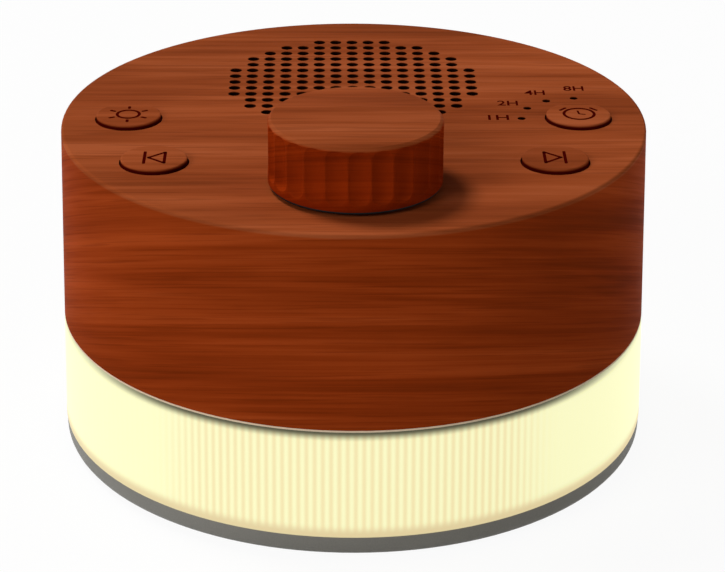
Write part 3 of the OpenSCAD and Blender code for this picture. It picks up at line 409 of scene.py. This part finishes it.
# %% Moulded plastics and rubber
def moulded(name, code, roughness, grain_mm=0.25, depth_mm=0.01, level=0.5, contrast=0.06):
    """Spark-eroded plastic, rubber or resin in one colour."""
    material, tree, shader = start_material(name, roughness, Specular_IOR_Level=level)
    grain = add(tree, "ShaderNodeTexNoise", {
        "Vector": millimetres(tree), "Scale": 1 / grain_mm, "Detail": 2.0,
        "Roughness": 0.6}).outputs["Fac"]
    shade = add(tree, "ShaderNodeMapRange", {
        "Value": grain, "From Min": 0.3, "From Max": 0.7,
        "To Min": 1 - contrast, "To Max": 1 + contrast})
    tint = add(tree, "ShaderNodeMix", {0: 1.0, 6: colour(code), 7: shade.outputs[0]},
               data_type="RGBA", blend_type="MULTIPLY")
    gloss = add(tree, "ShaderNodeMapRange", {
        "Value": grain, "From Min": 0.3, "From Max": 0.7,
        "To Min": roughness - 0.06, "To Max": roughness + 0.06})
    link_finish(tree, shader, tint.outputs[2], grain, depth_mm, 0.5, gloss.outputs[0])
    return material


materials["grey_plastic"] = moulded("spark_eroded_grey_abs", "8A8883", 0.55, 0.25, 0.012, 0.3)
materials["black_plastic"] = moulded("spark_eroded_black_abs", "0C0B0B", 0.5, 0.3, 0.01, 0.25)
materials["white_plastic"] = moulded("moulded_white_nylon", "E4E2DA", 0.4, 0.4)
materials["grey_rubber"] = moulded("moulded_grey_rubber", "5A5955", 0.8, 0.35, 0.02, 0.3)
materials["chip_resin"] = moulded("moulded_chip_resin", "17171A", 0.55, 0.15)
materials["capacitor_sleeve"] = moulded("shrunk_capacitor_sleeve", "1B2440", 0.35, 0.5)
materials["wire_sleeve"] = moulded("extruded_red_wire_sleeve", "8E1F1B", 0.35, 0.6)
materials["ferrite"] = moulded("pressed_ferrite", "2B2B2D", 0.75, 0.2, 0.03)
materials["foam"] = moulded("cut_closed_cell_foam", "2A2A2C", 0.95, 0.5, 0.08, 0.1)
materials["surround_rubber"] = moulded("moulded_surround_rubber", "161616", 0.6, 0.4)
materials["terminal_board"] = moulded("punched_phenolic_board", "8C6238", 0.5, 0.3)
materials["lamp_lens"] = moulded("cast_lamp_lens", "F2D36B", 0.25, 0.6)
materials["switch_shell"] = moulded("pressed_switch_shell", "9A9B9C", 0.35, 0.3)

# %% [markdown]
# ## Metals
# Screws and speaker plates are zinc-plated steel, and the inlet's shell is stainless steel drawn
# to shape, with fine marks about 0.1 mm apart along its length. The speaker's frame is pressed
# steel under black paint. The voice coil is enamelled copper wire, wound so closely that it
# shows as level lines 0.25 mm apart.

# %% Metals
def plated(name, code, roughness, scale=(1.0, 1.0, 1.0), grain_mm=0.3):
    """Plated or drawn metal, with marks stretched by scale."""
    material, tree, shader = start_material(name, roughness, 1.0)
    marks = add(tree, "ShaderNodeTexNoise", {
        "Vector": millimetres(tree, scale), "Scale": 1 / grain_mm, "Detail": 3.0}).outputs["Fac"]
    tint = add(tree, "ShaderNodeMapRange", {
        "Value": marks, "From Min": 0.3, "From Max": 0.7, "To Min": 0.88, "To Max": 1.05})
    mixed = add(tree, "ShaderNodeMix", {0: 1.0, 6: colour(code), 7: tint.outputs[0]},
                data_type="RGBA", blend_type="MULTIPLY")
    gloss = add(tree, "ShaderNodeMapRange", {
        "Value": marks, "From Min": 0.3, "From Max": 0.7,
        "To Min": roughness + 0.08, "To Max": roughness - 0.06})
    link_finish(tree, shader, mixed.outputs[2], marks, 0.004, 0.4, gloss.outputs[0])
    return material


materials["steel"] = plated("zinc_plated_steel", "B9BCC0", 0.3)
materials["drawn_steel"] = plated("drawn_stainless_steel", "C2C3C5", 0.25, (1.0, 0.1, 1.0), 0.1)
materials["copper_winding"] = plated(
    "enamelled_copper_wire", "B5622F", 0.3, (0.05, 0.05, 1.0), 0.25)
materials["black_steel"] = moulded("painted_black_steel", "1A1A1C", 0.35, 0.5)

# %% [markdown]
# ## Cloth, paper and boards
# The cloth behind the holes is a plain weave with a thread every 0.5 mm. Two crossed waves
# make it, one for the warp and one for the weft. The spider is the same weave, stiffened with
# resin. Paper has loose fibres. A circuit board is glass fibre under green lacquer, with
# copper tracks that show as paler lines on a 1.27 mm grid.

# %% Cloth, paper and boards
def woven(name, code_low, code_high, thread_mm, roughness=0.9):
    """A plain weave of threads along X and Y."""
    material, tree, shader = start_material(name, roughness, Specular_IOR_Level=0.15)
    place = add(tree, "ShaderNodeSeparateXYZ", {0: millimetres(tree)})
    waves = []
    for axis in ("X", "Y"):
        turn = add(tree, "ShaderNodeMath", {0: place.outputs[axis], 1: 2 * math.pi / thread_mm},
                   operation="MULTIPLY")
        waves.append(add(tree, "ShaderNodeMath", {0: turn.outputs[0]}, operation="SINE").outputs[0])
    crossed = add(tree, "ShaderNodeMath", {0: waves[0], 1: waves[1]}, operation="MULTIPLY")
    height = add(tree, "ShaderNodeMapRange", {
        "Value": crossed.outputs[0], "From Min": -1.0, "From Max": 1.0}).outputs[0]
    threads = add(tree, "ShaderNodeValToRGB", {"Fac": height})
    set_stops(threads.color_ramp.elements, [(0.1, code_low), (0.9, code_high)])
    link_finish(tree, shader, threads.outputs["Color"], height, 0.1 * thread_mm)
    return material


def circuit_board(name, code, track_code):
    """Lacquered glass fibre with tracks on a 1.27 mm grid."""
    material, tree, shader = start_material(name, 0.35)
    tracks = add(tree, "ShaderNodeTexBrick", {
        "Vector": millimetres(tree), "Color1": colour(code), "Color2": colour(code),
        "Mortar": colour(track_code), "Scale": 1.0, "Mortar Size": 0.12, "Brick Width": 7.62,
        "Row Height": 1.27})
    weave = add(tree, "ShaderNodeTexNoise", {
        "Vector": millimetres(tree), "Scale": 2.0, "Detail": 2.0})
    mixed = add(tree, "ShaderNodeMix", {
        0: 0.12, 6: tracks.outputs["Color"], 7: weave.outputs["Color"]}, data_type="RGBA",
        blend_type="OVERLAY")
    link_finish(tree, shader, mixed.outputs[2], tracks.outputs["Fac"], 0.03, 0.5)
    return material


materials["black_cloth"] = woven("woven_black_grille_cloth", "050505", "151313", 0.5)
materials["spider_cloth"] = woven("resined_spider_cloth", "8A6A32", "C8A662", 0.6, 0.7)
materials["paper_cone"] = moulded("pressed_paper_cone", "26282B", 0.9, 0.8, 0.05, 0.15, 0.2)
materials["circuit_board"] = circuit_board("green_lacquered_board", "0E4A2A", "2A7A4C")
materials["white_board"] = circuit_board("white_lacquered_lamp_board", "E6E6E0", "CFCFC6")
materials["ribbon_film"] = circuit_board("ribbon_film_with_tracks", "D8D6CC", "A9A79E")

# %% [markdown]
# ## Finishes on the solids
# Each solid keeps its shape and takes the finish of its own material slot in the record. Two
# have a finish of their own: the drum's film has painted shade in its holes and a painted
# highlight along its lower rim, and the inlet's shell is steel that is drawn and not plated.

# %% Finishes on the solids
OWN_FINISH = {"housing": "wood_drum", "inlet_socket": "drawn_steel"}
for entry in frame["record"]["subparts"]:
    solid, slot = nodes[entry["node"]], entry["material_slot"]
    solid.data.materials.clear()
    solid.data.materials.append(materials[OWN_FINISH.get(entry["node"], slot)])
print("Finishes:", sorted({o.data.materials[0].name for o in nodes.values()}))

# %% [markdown]
# ## The knob
# The knob is a drum with 24 wide, shallow flutes that meet in narrow ridges and reach its top
# chamfer, so the chamfer's lower edge is scalloped. Its edges are eased by a tenth of a
# millimetre, which is what catches the light on the left. The solid's flutes are shallower and
# their ridges are sharp, so the knob is modelled again: a cylinder is hollowed from below by
# inset and extrude, one round-ended cutter is copied round it and cut away, and a bevel eases
# what is left.

# %% Sizes of the knob
KNOB_X, KNOB_Y = middle("knob_cap")
KNOB_LOW, KNOB_HIGH = levels("knob_cap")
KNOB_CEILING = levels("knob_hub")[1]
KNOB_R, HUB_HOLE_R, KNOB_SIDES = 14.2, 12.45, 360
FLUTE_COUNT, FLUTE_R, FLUTE_DEPTH, FLUTE_TURN = 24, 3.3, 0.6, math.radians(2)
FLUTE_LOW, FLUTE_HIGH, FLUTE_END_ROUND = 0.27, -0.3, 2.2
TOP_CHAMFER, EDGE_EASE = 0.6, 0.1
SMOOTH_ANGLE = math.radians(40)
print("The knob stands from", round(KNOB_LOW, 2), "to", round(KNOB_HIGH, 2), "mm")

# %% [markdown]
# Two tools serve the knob and the marks. Faces are chosen by their place and direction, because
# their numbers change with each step. A ring is a drum whose two ends are inset and joined by a
# bridge, which opens its middle.


# %% Tools for drums and rings
def select_faces(piece, test):
    """In edit mode, selects the faces whose centre and normal pass the test."""
    bpy.ops.mesh.select_all(action="DESELECT")
    bpy.ops.object.mode_set(mode="OBJECT")
    for face in piece.data.polygons:
        face.select = test(face.center / MM, face.normal)
    bpy.ops.object.mode_set(mode="EDIT")
    bpy.ops.mesh.select_mode(type="FACE")


def add_drum(name, radius, low, high, sides, centre):
    """A closed drum between two levels, with its place in its mesh."""
    deselect()
    bpy.ops.mesh.primitive_cylinder_add(
        vertices=sides, radius=radius * MM, depth=(high - low) * MM,
        location=(centre[0] * MM, centre[1] * MM, (low + high) / 2 * MM))
    drum = settle(bpy.context.object)
    drum.name = drum.data.name = name
    return drum


def add_ring(name, out_r, width, low, high, sides, centre):
    """A drum with an open middle, which leaves a wall of that width."""
    ring = add_drum(name, out_r, low, high, sides, centre)
    bpy.ops.object.mode_set(mode="EDIT")
    select_faces(ring, lambda centre, normal: abs(normal.z) > 0.9)
    bpy.ops.mesh.inset(thickness=width * MM)
    bpy.ops.mesh.bridge_edge_loops()
    bpy.ops.mesh.select_all(action="SELECT")
    bpy.ops.mesh.normals_make_consistent(inside=False)
    bpy.ops.object.mode_set(mode="OBJECT")
    return ring


# %% [markdown]
# One cutter is a bar with rounded ends that stands outside the knob and reaches in by the
# flute's depth. Its copies share no mesh, so they can be joined and cut away in one step.


# %% The knob and its flutes
def flute_cutters():
    """One bar with rounded ends, copied round the knob's axis."""
    cutter = add_drum("cutter", FLUTE_R, KNOB_LOW + FLUTE_LOW, KNOB_HIGH - FLUTE_HIGH, 128,
                      (KNOB_R + FLUTE_R - FLUTE_DEPTH, 0))
    bpy.ops.object.mode_set(mode="EDIT")
    select_faces(cutter, lambda centre, normal: abs(normal.z) > 0.9)
    bpy.ops.mesh.bevel(offset=FLUTE_END_ROUND * MM, segments=10)
    bpy.ops.object.mode_set(mode="OBJECT")
    cutters = []
    for i in range(FLUTE_COUNT):
        turned = cutter.copy()
        turned.data = cutter.data.copy()
        bpy.context.collection.objects.link(turned)
        turned.rotation_euler.z = FLUTE_TURN + 2 * math.pi * i / FLUTE_COUNT
        cutters.append(turned)
    bpy.data.objects.remove(cutter)
    joined = join(cutters, "flute_cutters")
    joined.location = (KNOB_X * MM, KNOB_Y * MM, 0)
    return settle(joined)


knob = add_drum("knob_wood", KNOB_R, KNOB_LOW, KNOB_HIGH, KNOB_SIDES, (KNOB_X, KNOB_Y))
bpy.ops.object.mode_set(mode="EDIT")
select_faces(knob, lambda centre, normal: normal.z > 0.9)
bpy.ops.mesh.bevel(offset=TOP_CHAMFER * MM, segments=1)
select_faces(knob, lambda centre, normal: normal.z < -0.9)
bpy.ops.mesh.inset(thickness=(KNOB_R - HUB_HOLE_R) * MM)
bpy.ops.mesh.extrude_region_move(
    TRANSFORM_OT_translate={"value": (0, 0, (KNOB_CEILING - KNOB_LOW) * MM)})
bpy.ops.mesh.select_all(action="SELECT")
bpy.ops.mesh.normals_make_consistent(inside=False)
bpy.ops.object.mode_set(mode="OBJECT")
cutters = flute_cutters()
apply_modifier(knob, "BOOLEAN", operation="DIFFERENCE", object=cutters, solver="EXACT")
bpy.data.objects.remove(cutters)
print("Knob after the flutes:", len(knob.data.polygons), "faces")

# %% [markdown]
# The top edge is chamfered before the flutes are cut, and all edges are eased after. A
# bevel by angle finds them: they fold by 20 degrees or more, and the drum's own facets by 1.

# %% Ease the knob's edges
apply_modifier(knob, "BEVEL", width=EDGE_EASE * MM, segments=2, limit_method="ANGLE",
               angle_limit=math.radians(14), use_clamp_overlap=True)
only(knob)
bpy.ops.object.shade_smooth_by_angle(angle=SMOOTH_ANGLE)
knob.data.materials.append(materials["wood_knob"])
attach(knob, "knob")
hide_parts("knob_cap")
print("Knob:", len(knob.data.polygons), "faces")

# %% [markdown]
# ## The skirt's edge
# Under the knob a black line shows: the edge of its hub's skirt. The hub's own skirt ends too
# far in to be seen, so its edge is a thin ring of black ABS, a little narrower than the knob,
# with its corners eased. It stays clear of the drum when the knob is pushed down.

# %% The skirt's edge
SKIRT_LOW = levels("knob_hub")[0] - 0.07
SKIRT_IN_R, SKIRT_OUT_R = 13.2, 14.08
skirt = add_ring("knob_skirt_edge", SKIRT_OUT_R, SKIRT_OUT_R - SKIRT_IN_R, SKIRT_LOW, KNOB_LOW, 180,
                 (KNOB_X, KNOB_Y))
apply_modifier(skirt, "BEVEL", width=0.05 * MM, segments=2, limit_method="ANGLE",
               angle_limit=SMOOTH_ANGLE)
only(skirt)
bpy.ops.object.shade_smooth_by_angle(angle=SMOOTH_ANGLE)
skirt.data.materials.append(materials["black_plastic"])
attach(skirt, "knob")
print("Skirt's edge:", len(skirt.data.polygons), "faces")

# %% [markdown]
# ## Marks on the keys
# A laser burns the marks into the keys' film: a sun on the light key, a bar and an open
# triangle on the previous and next keys, and an alarm clock on the timer key. Each line is
# half a millimetre wide and dark brown. A flat image would blur close up, so each line is a
# thin inlay that stands 0.02 mm above the cap: bars are blocks whose upright edges are
# bevelled round, and rings are made as the skirt's edge is.

# %% Tools for marks
KEY_TOP = levels("light_key")[1]
MARK_W, MARK_PROUD, MARK_SINK = 0.52, 0.02, 0.08
materials["burnt_mark"] = moulded("laser_burnt_mark", "4A0603", 0.8, 0.15, 0.01, 0.0, 0.15)


def bar_mark(start, end, top, width=MARK_W):
    """A straight line with round ends from start to end, in millimetres."""
    (x0, y0), (x1, y1) = start, end
    length, angle = math.hypot(x1 - x0, y1 - y0), math.atan2(y1 - y0, x1 - x0)
    deselect()
    bpy.ops.mesh.primitive_cube_add(size=1, location=(
        (x0 + x1) / 2 * MM, (y0 + y1) / 2 * MM, (top + (MARK_PROUD - MARK_SINK) / 2) * MM))
    mark = bpy.context.object
    mark.scale = ((length + width) * MM, width * MM, (MARK_PROUD + MARK_SINK) * MM)
    settle(mark)
    bpy.ops.object.mode_set(mode="EDIT")
    bpy.ops.mesh.select_all(action="DESELECT")
    bpy.ops.object.mode_set(mode="OBJECT")
    for edge in mark.data.edges:
        a, b = (mark.data.vertices[v].co for v in edge.vertices)
        edge.select = abs(a.z - b.z) > MARK_PROUD * MM
    bpy.ops.object.mode_set(mode="EDIT")
    bpy.ops.mesh.select_mode(type="EDGE")
    bpy.ops.mesh.bevel(offset=width * 0.49 * MM, segments=4)
    bpy.ops.object.mode_set(mode="OBJECT")
    centre = Vector(((x0 + x1) / 2, (y0 + y1) / 2, 0)) * MM
    mark.data.transform(Matrix.Translation(centre) @ Matrix.Rotation(angle, 4, "Z")
                        @ Matrix.Translation(-centre))
    return mark


def ring_mark(centre, radius, top, width=MARK_W):
    """A circular line of that radius to the middle of its width."""
    return add_ring("ring_mark", radius + width / 2, width, top - MARK_SINK, top + MARK_PROUD, 64,
                    centre)


def burn(marks, name, body):
    """Joins the marks into one piece that rides with a body."""
    piece = join(marks, name)
    piece.data.materials.clear()
    piece.data.materials.append(materials["burnt_mark"])
    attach(piece, body)
    print(name, "has", len(piece.data.polygons), "faces")
    return piece


# %% [markdown]
# The sun is a ring with six rays. The clock is a ring with two thin hands and two bells. The
# triangles of the two other keys are mirror images, so one loop draws both.

# %% The sun and the clock
SUN, CLOCK = (-38.75, 0.0), (38.8, 0.05)
SUN_R, RAY_NEAR, RAY_FAR = 1.9, 2.8, 3.5
CLOCK_R, HAND_W = 2.6, 0.35


def spoke(centre, angle, near, far):
    """The two ends of a short line that points away from centre."""
    c, s = math.cos(math.radians(angle)), math.sin(math.radians(angle))
    return [(centre[0] + r * c, centre[1] + r * s) for r in (near, far)]


sun_marks = [ring_mark(SUN, SUN_R, KEY_TOP)]
for angle in range(30, 390, 60):
    sun_marks.append(bar_mark(*spoke(SUN, angle, RAY_NEAR, RAY_FAR), KEY_TOP))
burn(sun_marks, "light_mark", "light_key")

clock_marks = [ring_mark(CLOCK, CLOCK_R, KEY_TOP)]
for hand_x, hand_y in ((-0.15, 1.35), (0.95, -0.3)):
    clock_marks.append(bar_mark(CLOCK, (CLOCK[0] + hand_x, CLOCK[1] + hand_y), KEY_TOP, HAND_W))
for side in (-1, 1):
    clock_marks.append(bar_mark((CLOCK[0] + side * 3.1, CLOCK[1] + 1.75),
                                (CLOCK[0] + side * 2.2, CLOCK[1] + 2.75), KEY_TOP))
burn(clock_marks, "timer_mark", "timer_key")

# %% The previous and next marks
PREVIOUS, NEXT = (-33.15, -19.95), (33.15, -19.95)
for name, centre, side in (("previous", PREVIOUS, -1), ("next", NEXT, 1)):
    tip = (centre[0] + side * 0.95, centre[1])
    back = [(centre[0] - side * 1.75, centre[1] + dy) for dy in (-2.35, 2.35)]
    stop = [(centre[0] + side * 1.6, centre[1] + dy) for dy in (-2.45, 2.45)]
    marks = [bar_mark(back[0], tip, KEY_TOP), bar_mark(back[1], tip, KEY_TOP),
             bar_mark(*back, KEY_TOP), bar_mark(*stop, KEY_TOP)]
    burn(marks, name + "_mark", name + "_key")

# %% [markdown]
# ## Hour marks
# Beside the four timer lights stand plain hour marks, from 1H to 8H, burnt as the other marks
# are. They are typed with Blender's own letters, made a mesh, fitted to 3.6 by 2.3 mm and set
# down in the top plate.

# %% Hour marks
HOURS = {"1H": (24.95, 0.4), "2H": (26.94, 7.37), "4H": (32.01, 12.55), "8H": (39.04, 14.64)}
HOUR_SIZE = (3.6, 2.3)


def hour_mark(words, centre):
    """One hour mark as a thin solid, centred on its place."""
    deselect()
    bpy.ops.object.text_add()
    letters = bpy.context.object
    letters.data.body = words
    letters.data.resolution_u = 4
    letters.data.extrude = 1.0
    letters.data.offset = 0.012
    bpy.ops.object.convert(target="MESH")
    mark = settle(bpy.context.object)
    low = Vector(min(v.co[i] for v in mark.data.vertices) for i in range(3))
    high = Vector(max(v.co[i] for v in mark.data.vertices) for i in range(3))
    sizes = (*HOUR_SIZE, MARK_PROUD + MARK_SINK)
    scale = Matrix.Diagonal([size * MM / (b - a) for size, a, b in zip(sizes, low, high)] + [1])
    place = Vector((centre[0], centre[1], HOUSING_HIGH + (MARK_PROUD - MARK_SINK) / 2)) * MM
    mark.data.transform(Matrix.Translation(place) @ scale @ Matrix.Translation(-(low + high) / 2))
    return mark


burn([hour_mark(words, centre) for words, centre in HOURS.items()], "hour_marks", "cabinet")

# %% [markdown]
# ## Floor, backdrop and light
# The photo has a plain white background. Its light comes from above, behind and to the left,
# which lays the knob's shadow to its front right. A soft panel at the front left lights that
# side and shades the knob's flutes, and a weaker one fills the right side. A dim white world
# gives the rest. The camera and the gloss see the world as plain white. The pale floor throws
# light back on the object's sides. To the camera it is white too, but still darkens a little in
# the object's shadow.

# %% The floor
FLOOR_R = 3.0
FLOOR_SHARE = 0.94
FLOOR_PALE = (0.8, 0.8, 0.8, 1)
WHITE = (1, 1, 1, 1)
deselect()
bpy.ops.mesh.primitive_circle_add(vertices=64, radius=FLOOR_R, fill_type="NGON")
floor = settle(bpy.context.object)
floor.name = floor.data.name = "floor"


def seen_directly(tree):
    """1 for rays from the camera, a mirror or a window, and 0 for all others."""
    path = add(tree, "ShaderNodeLightPath")
    seen = add(tree, "ShaderNodeMath", {
        0: path.outputs["Is Camera Ray"], 1: path.outputs["Is Glossy Ray"]}, operation="MAXIMUM")
    seen = add(tree, "ShaderNodeMath", {
        0: seen.outputs[0], 1: path.outputs["Is Transmission Ray"]}, operation="MAXIMUM")
    return seen.outputs[0]


floor_material = bpy.data.materials.new("pale_floor")
floor_material.use_nodes = True
tree = floor_material.node_tree
tree.nodes.clear()
pale = add(tree, "ShaderNodeBsdfDiffuse", {"Color": FLOOR_PALE})
white = add(tree, "ShaderNodeEmission", {"Color": WHITE, "Strength": 1.0})
shadowed = add(tree, "ShaderNodeBsdfDiffuse", {"Color": WHITE})
seen_floor = add(tree, "ShaderNodeMixShader", {
    0: FLOOR_SHARE, 1: shadowed.outputs[0], 2: white.outputs[0]})
shown = add(tree, "ShaderNodeMixShader", {
    0: seen_directly(tree), 1: pale.outputs[0], 2: seen_floor.outputs[0]})
add(tree, "ShaderNodeOutputMaterial", {"Surface": shown.outputs[0]})
floor.data.materials.append(floor_material)
print("The floor is", round(FLOOR_SHARE * 100), "percent glow to the camera")

# %% The white studio
WORLD_LIGHT = 0.07
world = bpy.data.worlds.new("white_studio")
bpy.context.scene.world = world
world.use_nodes = True
tree = world.node_tree
tree.nodes.clear()
soft = add(tree, "ShaderNodeBackground", {"Color": WHITE, "Strength": WORLD_LIGHT})
white = add(tree, "ShaderNodeBackground", {"Color": WHITE, "Strength": 1.0})
shown = add(tree, "ShaderNodeMixShader", {
    0: seen_directly(tree), 1: soft.outputs[0], 2: white.outputs[0]})
add(tree, "ShaderNodeOutputWorld", {"Surface": shown.outputs[0]})
print("The white room lights the object at", WORLD_LIGHT)

# %% [markdown]
# The lamps are soft discs more than a metre off, so they light the near and the far side of the
# drum alike. Their powers were fitted one by one against the drum's, the top's and the knob's
# brightness in the photo.

# %% Lamps
LIGHT_AIM = Vector((0, 0, 0.05))


def studio_lamp(name, towards, distance, size, power):
    """A round soft lamp that stands in a direction from the object and faces it."""
    deselect()
    bpy.ops.object.light_add(type="AREA", location=LIGHT_AIM + towards.normalized() * distance)
    lamp = bpy.context.object
    lamp.name = name
    lamp.data.shape = "DISK"
    lamp.data.size = size
    lamp.data.energy = power
    lamp.rotation_euler = towards.to_track_quat("Z", "Y").to_euler()
    print(name, "stands", round(math.degrees(math.asin(towards.normalized().z))), "degrees up")


studio_lamp("key_light", Vector((-0.36, 0.3, 0.85)), distance=1.3, size=0.4, power=9.3)
studio_lamp("left_panel", Vector((-0.62, -0.52, 0.4)), distance=1.4, size=0.6, power=6.4)
studio_lamp("right_panel", Vector((0.85, -0.3, 0.3)), distance=1.4, size=0.8, power=2.4)

# %% [markdown]
# ## Camera
# The photo's camera was found from the square grid of the speaker holes and the outline's
# ellipses: it stands 0.43 m in front and 0.165 m above the drum's top, looks down by 24.7
# degrees and has a narrow view.

# %% Camera
PHOTO_W = 725
FOCAL_PX, SENSOR_MM = 2660.05, 36.0
YAW, PITCH, ROLL = 0.013803, 0.431304, 0.0044436
CAMERA_AT = Vector((-4.284, -428.029, HOUSING_HIGH + 165.235)) * MM
deselect()
bpy.ops.object.camera_add()
camera = bpy.context.object
camera.data.sensor_width = SENSOR_MM
camera.data.lens = FOCAL_PX * SENSOR_MM / PHOTO_W
ahead = Vector((math.sin(YAW) * math.cos(PITCH), math.cos(YAW) * math.cos(PITCH), -math.sin(PITCH)))
right = Vector((math.cos(YAW), -math.sin(YAW), 0))
up = right.cross(ahead)
rolled_right = right * math.cos(ROLL) + up * math.sin(ROLL)
rolled_up = up * math.cos(ROLL) - right * math.sin(ROLL)
camera.matrix_world = Matrix.Translation(CAMERA_AT) @ Matrix(
    (rolled_right, rolled_up, -ahead)).transposed().to_4x4()
NEAREST, FARTHEST = 0.01, 10
camera.data.clip_start, camera.data.clip_end = NEAREST, FARTHEST
bpy.context.scene.camera = camera
print("Lens:", round(camera.data.lens, 2), "mm")

# %% [markdown]
# ## The view
# The picture is shown as it is lit, with no film look.

# %% The view
bpy.context.scene.view_settings.view_transform = "Standard"
deselect()
bpy.context.view_layer.update()
